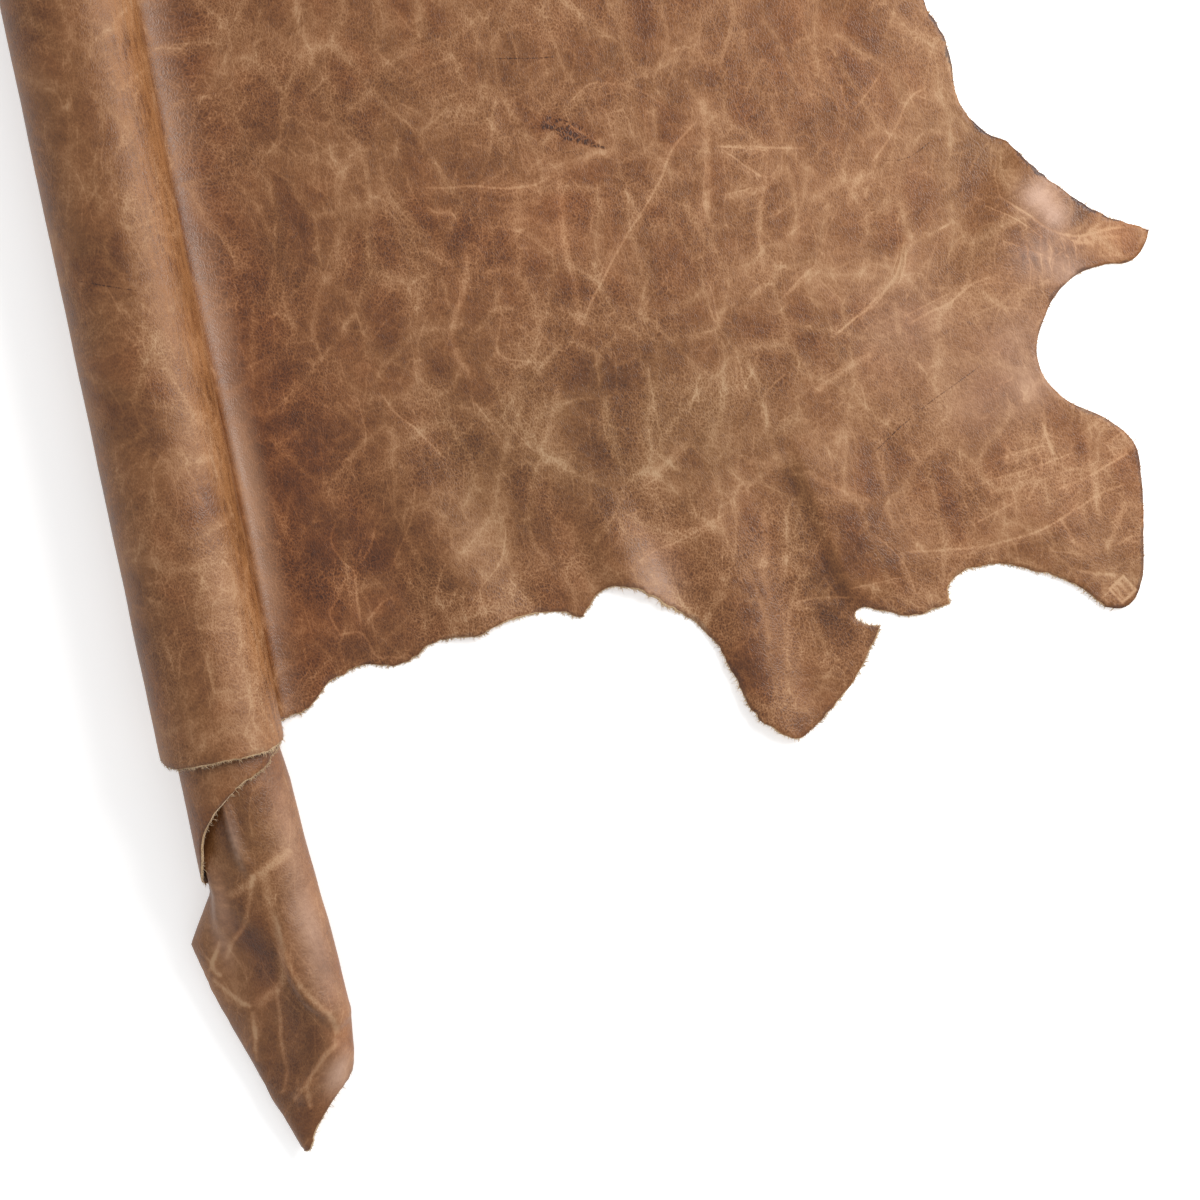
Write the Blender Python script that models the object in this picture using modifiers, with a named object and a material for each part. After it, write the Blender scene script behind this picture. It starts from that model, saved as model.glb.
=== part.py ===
"""A leather side laid out grain side up, with its left half wound into a loose roll.

The side is one piece of leather. It is cut flat from its outline, ruled into strips across the
winding direction, and then every point is carried to its place: the right half lies on the floor
in low ridges, the left half climbs the roll and winds inward for four turns, and the shank that
hangs out of the inner turns ends in a flattened, folded point.

Units are metres, +Z is up and the roll runs along Y. "across" is measured over the leather at
right angles to the roll and "along" beside it, both from one point on the open half, and the
finished side is centred over the origin at the end.
"""

import math

import bmesh
import bpy
import numpy as np
from mathutils import Matrix, Vector

LEATHER_THICKNESS = 0.0022
LEATHER_BROWN = (0.30, 0.150, 0.072, 1)
LEATHER_ROUGHNESS = 0.52
FOOT = -0.320  # where the sheet leaves the floor and starts up the roll, at the roll's open end
FOOT_DRIFT = 0.018  # how far that line has wandered to the right, FOOT_RUN further along
FOOT_RUN = 0.72
FOOT_START = -0.04
FOOT_FLAT = 0.06  # the ridges of the open half die away within this distance of that line

FLAT_STEP = 0.040  # spacing of the strips on the open half
WOUND_STEP = 0.0135  # and of the narrower strips that bend round the roll
ROW_STEP = 0.040  # spacing of the rows on the open half
SHANK_STEP = 0.027  # and on the shank, where the strips are halved too
SHANK_STRIPS = (49, 68)  # from and to this strip, counted from the foot
LONG_ROW_STEP = 0.120  # and along the straight part of the roll
CLOSEST_POINTS = 0.0016  # a line that passes this near the cut line's own point shares it
SAME_POINT = 1e-5
STRAIGHT_ANGLE = math.radians(0.5)  # the cut line counts as straight where it bends less than this
CURVE_STEPS = 4  # points that the cut line gets between two of its marks
ARC_STEPS = 12  # points on each quarter of a turn

# The cut line, in marks that the knife follows: across, along (in millimetres), and whether it
# rounds the mark or turns a corner there.
BELLY_LINE = (
    (-320, -50, "round"),
    (-302, -46, "corner"),
    (-286, -28, "round"),
    (-251, -16, "round"),
    (-208, -21, "round"),
    (-164, -6, "round"),
    (-129, -8, "round"),
    (-84, 0, "round"),
    (-44, -3, "round"),
    (-21, -12, "corner"),
    (2, 7, "round"),
    (28, 6, "round"),
    (64, -20, "round"),
    (92, -50, "round"),
    (110, -82, "round"),
    (128, -144, "round"),
)
ELBOW_FLAP = (
    (149, -168, "round"),
    (165, -177, "round"),
    (182, -170, "round"),
    (224, -138, "round"),
    (262, -95, "round"),
    (269, -83, "corner"),
    (254, -78, "round"),
    (246, -68, "round"),
    (252, -62, "round"),
    (273, -69, "corner"),
    (300, -80, "round"),
    (342, -76, "corner"),
    (345, -58, "round"),
    (383, -46, "round"),
    (435, -64, "round"),
    (473, -89, "round"),
)
CHEEK_FLAP = (
    (492, -112, "corner"),
    (513, -116, "round"),
    (530, -101, "round"),
    (545, -50, "round"),
    (555, 10, "round"),
    (555, 42, "round"),
    (536, 69, "round"),
    (491, 107, "round"),
    (478, 145, "round"),
    (493, 183, "round"),
    (524, 214, "round"),
    (560, 223, "round"),
    (588, 221, "round"),
    (604, 231, "round"),
)
NECK_LINE = (
    (614, 248, "corner"),
    (573, 272, "round"),
    (538, 305, "round"),
    (509, 337, "round"),
    (494, 364, "corner"),
    (472, 381, "round"),
    (455, 415, "round"),
    (454, 471, "round"),
    (440, 518, "round"),
    (424, 590, "round"),
    (421, 700, "round"),
    (433, 820, "round"),
    (446, 900, "round"),
    (436, 927, "round"),
)
# The rest of the cut line lies in the roll: here "wound" is the length of leather from the foot.
BACK_LINE = ((0, 932), (180, 936), (400, 930), (650, 934), (900, 928), (1080, 926))
BUTT_LINE = ((1150, 890), (1163, 780), (1150, 560), (1158, 330), (1142, 120), (1128, 10))
FLANK_LINE = ((1085, -70), (1030, -130), (980, -195), (940, -255), (905, -320), (865, -385), (810, -450))
SHANK_END = ((790, -470), (780, -477), (768, -475), (761, -457), (742, -427), (714, -400))
SHANK_LINE = ((700, -370), (666, -310), (640, -240), (612, -199), (580, -194), (550, -186), (522, -142))
ROLL_END_LINE = (
    (482, -108),
    (450, -92),
    (425, -76),
    (401, -64),
    (310, -55),
    (232, -60),
    (195, -74),
    (142, -78),
    (112, -79),
    (88, -76),
    (66, -70),
    (44, -56),
)

# The winding, in millimetres, in the order the leather passes: over the top, down the left, along
# the floor from flat_from to flat_to, and up the right into the next turn.
TURNS = (
    dict(top=(-395, 103), left=(-455, 52), bottom=1.1, flat_from=-420, flat_to=-384, right=(-336, 47)),
    dict(top=(-396, 93), left=(-440, 52), bottom=4.8, flat_from=-418, flat_to=-386, right=(-341, 46)),
    dict(top=(-396, 84), left=(-432, 50), bottom=8.5, flat_from=-410, flat_to=-388, right=(-349, 45)),
    dict(top=(-396, 75), left=(-423, 46), bottom=12.2, flat_from=-407, flat_to=-391, right=(-358, 44)),
)
FOOT_HANDLE = 18  # how gently the sheet lifts off the floor
TOP_HANDLE = 88  # and how gently it comes over the top
ROLL_LEFT = -455  # the roll widens from this side
ROLL_TAPER = 0.10  # share by which it widens over FOOT_RUN
ROUND = 2.0  # the fullness of an elliptical quarter turn

# Past the roll's open end the third turn goes on as the shank. Each row is a section of it, in
# millimetres: the fold on the right, the crown, the fold on the left, the two layers below, where
# the lower of them turns up, and how full the left slope is (2 is an ellipse, 1 a straight one).
SHANK_COLUMNS = ("along", "right", "top", "left", "under", "seat", "slope")
SHANK_ROWS = (
    (-70, (-341, 46), (-396, 84), (-432, 50), (4.8, 8.5), -386, 2.0),
    (-110, (-337, 44), (-392, 84), (-433, 48), (4.0, 8.0), -380, 2.0),
    (-170, (-335, 41), (-385, 80), (-434, 45), (2.4, 6.5), -372, 2.0),
    (-203, (-333, 39), (-380, 77), (-436, 41), (1.6, 5.5), -366, 1.9),
    (-226, (-332, 38), (-374, 74), (-452, 27), (1.1, 4.8), -360, 1.7),
    (-250, (-330, 36), (-368, 71), (-468, 19), (1.1, 4.8), -355, 1.6),
    (-300, (-328, 32), (-359, 65), (-458, 16), (1.1, 4.8), -352, 1.5),
    (-345, (-327, 28), (-356, 58), (-444, 15), (1.1, 4.8), -350, 1.5),
    (-385, (-333, 23), (-358, 49), (-431, 14), (1.1, 4.8), -351, 1.5),
    (-415, (-340, 19), (-361, 40), (-423, 14), (1.1, 4.8), -353, 1.6),
    (-450, (-344, 15), (-368, 29), (-410, 13), (1.1, 4.8), -356, 1.8),
    (-490, (-350, 11), (-372, 19), (-397, 11), (1.1, 4.8), -358, 2.0),
)
SHANK_SECTIONS = [dict(zip(SHANK_COLUMNS, row)) for row in SHANK_ROWS]
FOLD_REACH = 22  # the lower layer of the left fold runs level this far in from it
# The pieces of the winding, counted from the foot, at whose ends the leather passes under the
# shank and then folds up its right side.
UNDER_SHANK = 7
SHANK_FOLD = 9

# Low ridges of the open half, in millimetres: from the cut edge inward, how high and how wide.
RIDGES = (
    dict(name="belly", edge=(-120, 0), inner=(-197, 265), height=9, reach=58),
    dict(name="navel", edge=(39, -12), inner=(8, 135), height=10, reach=42),
    dict(name="elbow", edge=(139, -158), inner=(128, 150), height=12, reach=52),
    dict(name="brisket", edge=(277, -72), inner=(246, 92), height=10, reach=42),
    dict(name="cheek", edge=(470, -92), inner=(402, 130), height=7, reach=60),
    dict(name="throat", edge=(515, 330), inner=(405, 205), height=9, reach=46),
    dict(name="crest", edge=(446, 560), inner=(290, 470), height=6, reach=55),
    dict(name="backbone", edge=(60, 945), inner=(10, 700), height=8, reach=60),
)
# Soft hollows pressed into the shank's upper side, in millimetres: where the middle of each lies
# over the leather, how far it reaches either way, and how deep it is.
SHANK_DENTS = (
    dict(wound=828, along=-274, across_reach=46, along_reach=60, depth=9),
    dict(wound=778, along=-350, across_reach=36, along_reach=62, depth=7),
)

MM = 0.001
NUDGE = 0.0004  # step used to find which way the leather faces


def clear_scene():
    for item in list(bpy.data.objects):
        bpy.data.objects.remove(item, do_unlink=True)


def smooth(share):
    """Eases a share from 0 to 1, level at both ends."""
    share = min(max(share, 0.0), 1.0)
    return share * share * (3 - 2 * share)


def foot_at(along):
    """Where the sheet leaves the floor, this far along the roll."""
    return FOOT + FOOT_DRIFT * max((along - FOOT_START) / FOOT_RUN, 0.0)


def knife_marks():
    """The whole cut line as (across, along, kind), in metres and in order round the side."""
    marks = []
    for stretch in (BELLY_LINE, ELBOW_FLAP, CHEEK_FLAP, NECK_LINE):
        marks += [(across * MM, along * MM, kind) for across, along, kind in stretch]
    for stretch in (BACK_LINE, BUTT_LINE, FLANK_LINE, SHANK_END, SHANK_LINE, ROLL_END_LINE):
        for wound, along in stretch:
            kind = "corner" if (wound, along) in (SHANK_END[1], SHANK_END[-1]) else "round"
            marks.append((foot_at(along * MM) - wound * MM, along * MM, kind))
    return marks


def cut_flat_side():
    """The flat cut as a filled curve, made a mesh of one face."""
    outline = bpy.data.curves.new("cut line", "CURVE")
    outline.dimensions = "2D"
    outline.fill_mode = "BOTH"
    outline.resolution_u = CURVE_STEPS
    spline = outline.splines.new("BEZIER")
    marks = knife_marks()
    spline.bezier_points.add(len(marks) - 1)
    for point, (across, along, kind) in zip(spline.bezier_points, marks):
        point.co = (across, along, 0)
        handle = "VECTOR" if kind == "corner" else "AUTO"
        point.handle_left_type = point.handle_right_type = handle
    spline.use_cyclic_u = True
    guide = bpy.data.objects.new("cut line", outline)
    bpy.context.scene.collection.objects.link(guide)
    graph = bpy.context.evaluated_depsgraph_get()
    filled = bpy.data.meshes.new_from_object(guide.evaluated_get(graph))
    bpy.data.objects.remove(guide, do_unlink=True)

    work = bmesh.new()
    work.from_mesh(filled)
    bpy.data.meshes.remove(filled)
    bmesh.ops.remove_doubles(work, verts=work.verts, dist=SAME_POINT)
    bmesh.ops.dissolve_limit(work, angle_limit=STRAIGHT_ANGLE, verts=work.verts, edges=work.edges)
    for face in work.faces:
        if face.normal.z < 0:
            face.normal_flip()
    return work


def rule(work, axis, first, last, step, inside):
    """Rules lines across this axis, a step apart, through the faces that pass the inside test."""
    place = first
    while (last - place) * step > 0:
        faces = [face for face in work.faces if inside(face.calc_center_bounds())]
        edges = {edge for face in faces for edge in face.edges}
        corners = {corner for face in faces for corner in face.verts}
        geometry = [*faces, *edges, *corners]
        bmesh.ops.bisect_plane(work, geom=geometry, dist=SAME_POINT, plane_co=axis * place, plane_no=axis)
        place += step


def rule_strips(work):
    """Rules the cut into strips across the winding, and the strips into rows."""
    points = np.array([corner.co for corner in work.verts])
    left, low, _ = points.min(0)
    right, high, _ = points.max(0)
    across, along = Vector((1, 0, 0)), Vector((0, 1, 0))
    wind_start, lie_start = FOOT + FOOT_DRIFT, FOOT + FOOT_DRIFT + FLAT_STEP / 2
    shank_from, shank_to = (wind_start - (strip + 0.5) * WOUND_STEP for strip in SHANK_STRIPS)
    shank_start = SHANK_SECTIONS[1]["along"] * MM
    rule(work, along, FOOT_START, high, high, lambda middle: True)
    rule(work, along, shank_start, high, high, lambda middle: middle.x <= FOOT)
    rule(work, across, wind_start, left, -WOUND_STEP, lambda middle: True)
    rule(work, across, lie_start, right, FLAT_STEP, lambda middle: True)
    rule(work, across, shank_from, shank_to, -WOUND_STEP, lambda middle: middle.y < shank_start)
    rule(work, along, low + SHANK_STEP / 2, FOOT_START, SHANK_STEP, lambda middle: middle.x <= FOOT)
    rule(work, along, FOOT_START + LONG_ROW_STEP / 2, high, LONG_ROW_STEP, lambda middle: middle.x <= FOOT)
    rule(work, along, low + ROW_STEP / 2, high, ROW_STEP, lambda middle: middle.x > FOOT)
    bmesh.ops.remove_doubles(work, verts=work.verts, dist=CLOSEST_POINTS)


def quarter(start, end, from_side, fullness=ROUND):
    """Points on a quarter turn between two stops, without the first: one is beside the roll's
    middle, where the leather runs upright, and the other above or below it, where it runs level."""
    turn = np.linspace(0, math.pi / 2, ARC_STEPS + 1)[1:]
    near, far = np.cos(turn).clip(0) ** (2 / fullness), np.sin(turn) ** (2 / fullness)
    if from_side:
        return np.stack([end[0] + (start[0] - end[0]) * near, start[1] + (end[1] - start[1]) * far], 1)
    return np.stack([start[0] + (end[0] - start[0]) * far, end[1] + (start[1] - end[1]) * near], 1)


def shank_section(along):
    """The shank's section this far along, between the rows of the table."""
    stations = [row["along"] * MM for row in SHANK_SECTIONS]
    if along >= stations[0]:
        return SHANK_SECTIONS[0]
    below = next((i for i, station in enumerate(stations) if along > station), len(stations) - 1)
    first, last = SHANK_SECTIONS[below - 1], SHANK_SECTIONS[below]
    share = min((along - stations[below - 1]) / (stations[below] - stations[below - 1]), 1.0)
    mixed = {}
    for name, value in first.items():
        mixed[name] = np.array(value) * (1 - share) + np.array(last[name]) * share
    return mixed


def turn_stops(along):
    """The turns' stops this far along: past the roll's end the inner ones follow the shank."""
    shank, rolled = shank_section(along), SHANK_SECTIONS[0]
    stops = []
    for number, turn in enumerate(TURNS):
        turn = {name: np.array(value, float) for name, value in turn.items()}
        turn["slope"] = ROUND
        if number == 1:
            turn["bottom"], turn["flat_to"] = shank["under"][0], shank["seat"]
        if number in (1, 2):
            turn["right"] += np.array(shank["right"]) - rolled["right"]
        if number in (2, 3):
            turn["top"] += np.array(shank["top"]) - rolled["top"]
            turn["left"] += np.array(shank["left"]) - rolled["left"]
            turn["bottom"] += shank["under"][1] - rolled["under"][1]
            turn["flat_from"] = turn["left"][0] + FOLD_REACH
            turn["flat_to"] += shank["seat"] - rolled["seat"]
            turn["slope"] = shank["slope"]
        stops.append(turn)
    return stops


def climb(along, crown):
    """The points from the foot on the floor up to the crown of the first turn."""
    share = np.linspace(0, 1, 2 * ARC_STEPS + 1)[:, None]
    foot, rest = foot_at(along) / MM, LEATHER_THICKNESS / 2 / MM
    handles = ((foot, rest), (foot - FOOT_HANDLE, rest), (crown[0] + TOP_HANDLE, crown[1]), crown)
    weights = ((1 - share) ** 3, 3 * share * (1 - share) ** 2, 3 * share**2 * (1 - share), share**3)
    return sum(weight * np.array(handle) for weight, handle in zip(weights, handles))


def wound_section(along):
    """The winding this far along: its points (x, z) in metres, the length of leather up to each,
    and the two of them between which the leather under the shank's right fold lies."""
    stops = turn_stops(along)
    pieces = [climb(along, stops[0]["top"])]
    for turn, after in zip(stops, (*stops[1:], None)):
        seat = (turn["flat_to"], turn["bottom"])
        pieces.append(quarter(turn["top"], turn["left"], False, turn["slope"]))
        pieces.append(quarter(turn["left"], (turn["flat_from"], turn["bottom"]), True))
        pieces.append(np.array([seat]))
        pieces.append(quarter(seat, turn["right"], False))
        if after:
            pieces.append(quarter(turn["right"], after["top"], True))
    path = np.concatenate(pieces)
    ends = np.cumsum([len(piece) for piece in pieces]) - 1
    first, last = ends[UNDER_SHANK], ends[SHANK_FOLD]
    widen = 1 + ROLL_TAPER * (foot_at(along) - FOOT) / FOOT_DRIFT
    crown = ends[0]
    share = np.linspace(0, 1, crown + 1)
    path[:crown, 0] += ((path[crown, 0] - ROLL_LEFT) * (widen - 1) * share)[:crown]
    path[crown:, 0] = ROLL_LEFT + (path[crown:, 0] - ROLL_LEFT) * widen
    path = path * MM
    wound = np.concatenate([[0], np.cumsum(np.hypot(*np.diff(path, axis=0).T))])
    return path, wound, first, last


class Winding:
    """Carries a point of the flat side to its place, remembering the sections it has drawn."""

    def __init__(self):
        self.sections = {}
        _, wound, _, fold = wound_section(SHANK_SECTIONS[0]["along"] * MM)
        self.fold_wound = wound[fold]  # the leather that lies in the roll before the shank's fold

    def section(self, along):
        key = round(along, 4)
        if key not in self.sections:
            path, wound, under, fold = wound_section(key)
            if key < SHANK_SECTIONS[0]["along"] * MM:
                drawn = (0, wound[under], wound[fold], wound[-1])
                cut = (0, wound[under], self.fold_wound, self.fold_wound + wound[-1] - wound[fold])
                wound = np.interp(wound, drawn, cut)
            self.sections[key] = (path, wound)
        return self.sections[key]

    def middle(self, across, along):
        """Where this point of the leather's middle layer lies."""
        wound = foot_at(along) - across
        if wound <= 0:
            return Vector((across, along, LEATHER_THICKNESS / 2 + ridge_height(across, along)))
        path, lengths = self.section(along)
        return Vector((np.interp(wound, lengths, path[:, 0]), along, np.interp(wound, lengths, path[:, 1])))

    def pressed(self, across, along):
        """The same point with the shank's dents pressed in."""
        depth = dent_depth(foot_at(along) - across, along)
        place = self.middle(across, along)
        if depth:
            beside = self.middle(across + NUDGE, along) - self.middle(across - NUDGE, along)
            ahead = self.middle(across, along + NUDGE) - self.middle(across, along - NUDGE)
            place -= beside.cross(ahead).normalized() * depth
        return place


def ridge_height(across, along):
    """How far the open half stands off the floor here."""
    height = 0.0
    for ridge in RIDGES:
        edge, inner = Vector(ridge["edge"]) * MM, Vector(ridge["inner"]) * MM
        line = inner - edge
        here = Vector((across, along)) - edge
        share = here.dot(line) / line.length_squared
        aside = (here - line * share).length / (ridge["reach"] * MM)
        if aside < 1 and share < 1:
            height += ridge["height"] * MM * (1 - aside**2) ** 2 * (1 - smooth(share))
    return height * smooth((across - FOOT - FOOT_DRIFT) / FOOT_FLAT)


def dent_depth(wound, along):
    """How far the shank is pressed in here."""
    depth = 0.0
    for dent in SHANK_DENTS:
        across = (wound / MM - dent["wound"]) / dent["across_reach"]
        length = (along / MM - dent["along"]) / dent["along_reach"]
        away = across**2 + length**2
        if away < 1:
            depth += dent["depth"] * MM * (1 - away) ** 2
    return depth


def wind(work):
    """Carries the ruled cut to its place, half of it wound up and half laid on the floor."""
    winding = Winding()
    for corner in work.verts:
        corner.co = winding.pressed(corner.co.x, corner.co.y)


def centre_over_origin(side):
    """Stands the side on the floor with the middle of its box over the origin."""
    bpy.context.view_layer.update()
    low, high = Vector(side.bound_box[0]), Vector(side.bound_box[6])
    side.data.transform(Matrix.Translation((-(low.x + high.x) / 2, -(low.y + high.y) / 2, 0)))


def leather():
    material = bpy.data.materials.new("waxed brown leather")
    material.use_nodes = True
    finish = material.node_tree.nodes["Principled BSDF"]
    finish.inputs["Base Color"].default_value = LEATHER_BROWN
    finish.inputs["Roughness"].default_value = LEATHER_ROUGHNESS
    return material


def make_side():
    work = cut_flat_side()
    rule_strips(work)
    bmesh.ops.triangulate(work, faces=work.faces)
    for edge in work.edges:
        edge.smooth = not edge.is_boundary  # the two faces meet the cut edge at a hard corner
    wind(work)
    mesh = bpy.data.meshes.new("leather_side")
    work.to_mesh(mesh)
    work.free()
    mesh.materials.append(leather())
    mesh.shade_smooth()
    side = bpy.data.objects.new("leather_side", mesh)
    collection = bpy.data.collections.new("leather side")
    bpy.context.scene.collection.children.link(collection)
    collection.objects.link(side)
    thickness = side.modifiers.new("leather thickness", "SOLIDIFY")
    thickness.thickness = LEATHER_THICKNESS
    thickness.offset = 0
    thickness.use_quality_normals = True
    centre_over_origin(side)


clear_scene()
make_side()
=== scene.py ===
import math

import bpy
import numpy as np
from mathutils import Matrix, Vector, kdtree
from mathutils.geometry import delaunay_2d_cdt


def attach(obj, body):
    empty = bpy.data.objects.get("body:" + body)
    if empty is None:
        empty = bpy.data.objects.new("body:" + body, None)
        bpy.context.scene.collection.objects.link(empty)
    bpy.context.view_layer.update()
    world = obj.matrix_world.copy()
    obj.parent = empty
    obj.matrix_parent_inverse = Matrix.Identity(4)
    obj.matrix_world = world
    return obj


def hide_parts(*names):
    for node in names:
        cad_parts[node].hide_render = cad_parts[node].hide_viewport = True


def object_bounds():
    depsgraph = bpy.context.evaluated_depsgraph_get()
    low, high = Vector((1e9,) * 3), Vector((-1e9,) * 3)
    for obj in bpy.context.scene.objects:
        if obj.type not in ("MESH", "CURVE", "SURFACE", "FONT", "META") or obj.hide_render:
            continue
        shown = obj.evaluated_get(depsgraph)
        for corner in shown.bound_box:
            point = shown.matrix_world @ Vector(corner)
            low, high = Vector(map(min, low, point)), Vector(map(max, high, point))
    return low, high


# A leather side, grain side up: its right half lies open on the floor, its left half is wound into
# a loose roll. "across" is measured over the leather at right angles to the roll, "along" beside
# it, and "wound" is the length of leather from the foot of the roll. Places are in millimetres.

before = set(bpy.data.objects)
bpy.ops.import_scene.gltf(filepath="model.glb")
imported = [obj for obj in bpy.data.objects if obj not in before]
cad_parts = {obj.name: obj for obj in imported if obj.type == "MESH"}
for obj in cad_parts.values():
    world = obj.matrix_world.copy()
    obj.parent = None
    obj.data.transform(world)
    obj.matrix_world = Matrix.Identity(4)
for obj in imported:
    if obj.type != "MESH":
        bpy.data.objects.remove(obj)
cadLow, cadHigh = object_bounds()
mm = 0.001
print("frame loaded, box", [round(v, 4) for v in (*cadLow, *cadHigh)])


def named(names, rows):
    # gives the values in each row their names
    return [dict(zip(names.split(), row)) for row in rows]


# The cut line. Marks are across, along, and in the rolled stretches wound, along.
# corners: marks where the knife turns sharply, ragged: how rough the cut is, bevel: how far the
# flesh side stands out past the grain, fuzz: loose fibres, stain: dark finish soaked in at the edge
cutLine = [
    dict(
        name="belly", ragged=1.4, bevel=1.7, fuzz=1.0, stain=0.35, corners=(1, 9),
        marks=(
            (-320, -50), (-302, -46), (-286, -28), (-251, -16), (-208, -21), (-164, -6), (-129, -8),
            (-84, 0), (-44, -3), (-21, -12), (2, 7), (28, 6), (64, -20), (92, -50), (110, -82),
            (128, -144),
        ),
    ),
    dict(
        name="elbow flap", ragged=0.8, bevel=1.5, fuzz=0.7, stain=0.25, corners=(5, 9, 11),
        marks=(
            (149, -168), (165, -177), (182, -170), (224, -138), (262, -95), (269, -83), (254, -78),
            (246, -68), (252, -62), (273, -69), (300, -80), (342, -76), (345, -58), (383, -46),
            (435, -64), (473, -89),
        ),
    ),
    dict(
        name="cheek flap", ragged=0.25, bevel=0.35, fuzz=0.1, stain=0.6, corners=(0,),
        marks=(
            (492, -112), (513, -116), (530, -101), (545, -50), (555, 10), (555, 42), (536, 69),
            (491, 107), (478, 145), (493, 183), (524, 214), (560, 223), (588, 221), (604, 231),
        ),
    ),
    dict(
        name="neck", ragged=0.9, bevel=0.5, fuzz=0.2, stain=1.0, corners=(0, 4),
        marks=(
            (614, 248), (573, 272), (538, 305), (509, 337), (494, 364), (472, 381), (455, 415),
            (454, 471), (440, 518), (424, 590), (421, 700), (433, 820), (446, 900), (436, 927),
        ),
    ),
    dict(
        name="backbone", ragged=0.3, bevel=0.4, fuzz=0.3, stain=0.2, rolled=True,
        marks=((0, 932), (180, 936), (400, 930), (650, 934), (900, 928), (1080, 926)),
    ),
    dict(
        name="butt", ragged=0.6, bevel=0.4, fuzz=0.0, stain=0.2, rolled=True,
        marks=((1150, 890), (1163, 780), (1150, 560), (1158, 330), (1142, 120), (1128, 10)),
    ),
    dict(
        name="flank", ragged=0.5, bevel=0.4, fuzz=0.2, stain=0.2, rolled=True,
        marks=(
            (1085, -70), (1030, -130), (980, -195), (940, -255), (905, -320), (865, -385), (810, -450),
        ),
    ),
    dict(
        name="shank end", ragged=0.4, bevel=2.6, fuzz=0.3, stain=0.2, rolled=True, corners=(1, 5),
        marks=((790, -470), (780, -477), (768, -475), (761, -457), (742, -427), (714, -400)),
    ),
    dict(
        name="shank", ragged=0.4, bevel=0.9, fuzz=0.3, stain=0.5, rolled=True,
        marks=((700, -370), (666, -310), (640, -240), (612, -199), (580, -194), (550, -186), (522, -142)),
    ),
    dict(
        name="roll end", ragged=0.7, bevel=2.0, fuzz=1.2, stain=0.2, rolled=True,
        marks=(
            (482, -108), (450, -92), (425, -76), (401, -64), (310, -55), (232, -60), (195, -74),
            (142, -78), (112, -79), (88, -76), (66, -70), (44, -56),
        ),
    ),
]

# The winding: where it leaves the floor, how its outer wall climbs, and how it widens to the far end
winding = dict(
    # in metres
    thickness=0.0022, foot=-0.320, footDrift=0.018, footStart=-0.04, footRun=0.72,
    leadIn=0.096,  # flat leather in front of the foot that takes part in its bend
    shankFrom=-0.500, shankStep=0.0025, rollTo=0.97, rollStep=0.03, woundTo=1.26, woundStep=0.0015,
    # in millimetres
    footHandle=18, topHandle=88, left=-455, foldReach=22,
    taper=0.04, round=2.0, arcSteps=36,
)
# the foot: how softly the leather bends up from the floor, how far the lowest part of the wall is
# tucked in under it (mm), and how much wound leather is eased (m), at the near and at the far end
footBend = dict(
    ease=(12.0, 26.0), tuck=(11.0, 22.0), easedTo=(0.035, 0.045),
    farFrom=0.13, farRun=0.36,  # where along the roll the one passes to the other (m)
    tuckFrom=-0.044, tuckRun=0.056, tuckTo=0.012, tuckFade=0.054,  # by the length wound (m)
    kernelReach=4,
)
# over the top, down the left, along the floor from flatFrom to flatTo, up the right, and again
turns = named("top left bottom flatFrom flatTo right", [
    ((-395, 103), (-455, 52), 1.1, -420, -384, (-336, 47)),
    ((-396, 93), (-440, 52), 4.8, -418, -386, (-341, 46)),
    ((-396, 84), (-432, 50), 8.5, -410, -388, (-349, 45)),
    ((-396, 75), (-423, 46), 12.2, -407, -391, (-358, 44)),
])
# the shank: the fold on the right, the crown, the fold on the left, the two layers below, where
# the lower one turns up, and how full the left slope is
shankSections = named("along right top left under seat slope", [
    (-70, (-341, 46), (-396, 84), (-432, 50), (4.8, 8.5), -386, 2.0),
    (-110, (-337, 44), (-392, 84), (-433, 48), (4.0, 8.0), -380, 2.0),
    (-170, (-335, 41), (-385, 80), (-434, 45), (2.4, 6.5), -372, 2.0),
    (-203, (-333, 39), (-380, 77), (-436, 41), (1.6, 5.5), -366, 1.9),
    (-226, (-332, 38), (-374, 74), (-452, 27), (1.1, 4.8), -360, 1.7),
    (-250, (-330, 36), (-368, 71), (-468, 19), (1.1, 4.8), -355, 1.6),
    (-300, (-328, 32), (-359, 65), (-458, 16), (1.1, 4.8), -352, 1.5),
    (-345, (-327, 28), (-356, 58), (-444, 15), (1.1, 4.8), -350, 1.5),
    (-385, (-333, 23), (-358, 49), (-431, 14), (1.1, 4.8), -351, 1.5),
    (-415, (-340, 19), (-361, 40), (-423, 14), (1.1, 4.8), -353, 1.6),
    (-450, (-344, 15), (-368, 29), (-410, 13), (1.1, 4.8), -356, 1.8),
    (-490, (-350, 11), (-372, 19), (-397, 11), (1.1, 4.8), -358, 2.0),
])
underShank, shankFold = 7, 9  # the pieces of the winding that end before and after the right fold

# low ridges of the open half: from the cut edge inward, how high and how wide
ridges = named("name edge inner height reach", [
    ("belly", (-120, 0), (-197, 265), 9, 58),
    ("navel", (39, -12), (8, 135), 12, 40),
    ("elbow", (139, -158), (128, 150), 12, 52),
    ("brisket", (290, -72), (262, 92), 1.5, 42),
    ("cheek", (470, -92), (402, 130), 3, 60),
    ("throat", (515, 330), (405, 205), 9, 46),
    ("crest", (446, 560), (290, 470), 6, 55),
    ("backbone", (60, 945), (10, 700), 8, 60),
])
ridgeFade = 0.06  # they rise from nothing within this distance of the roll's foot (m)
# soft hollows in the shank's upper side
dents = named("wound along acrossReach alongReach depth", [
    (828, -274, 46, 60, 9),
    (806, -350, 34, 62, 5),
])
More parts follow.
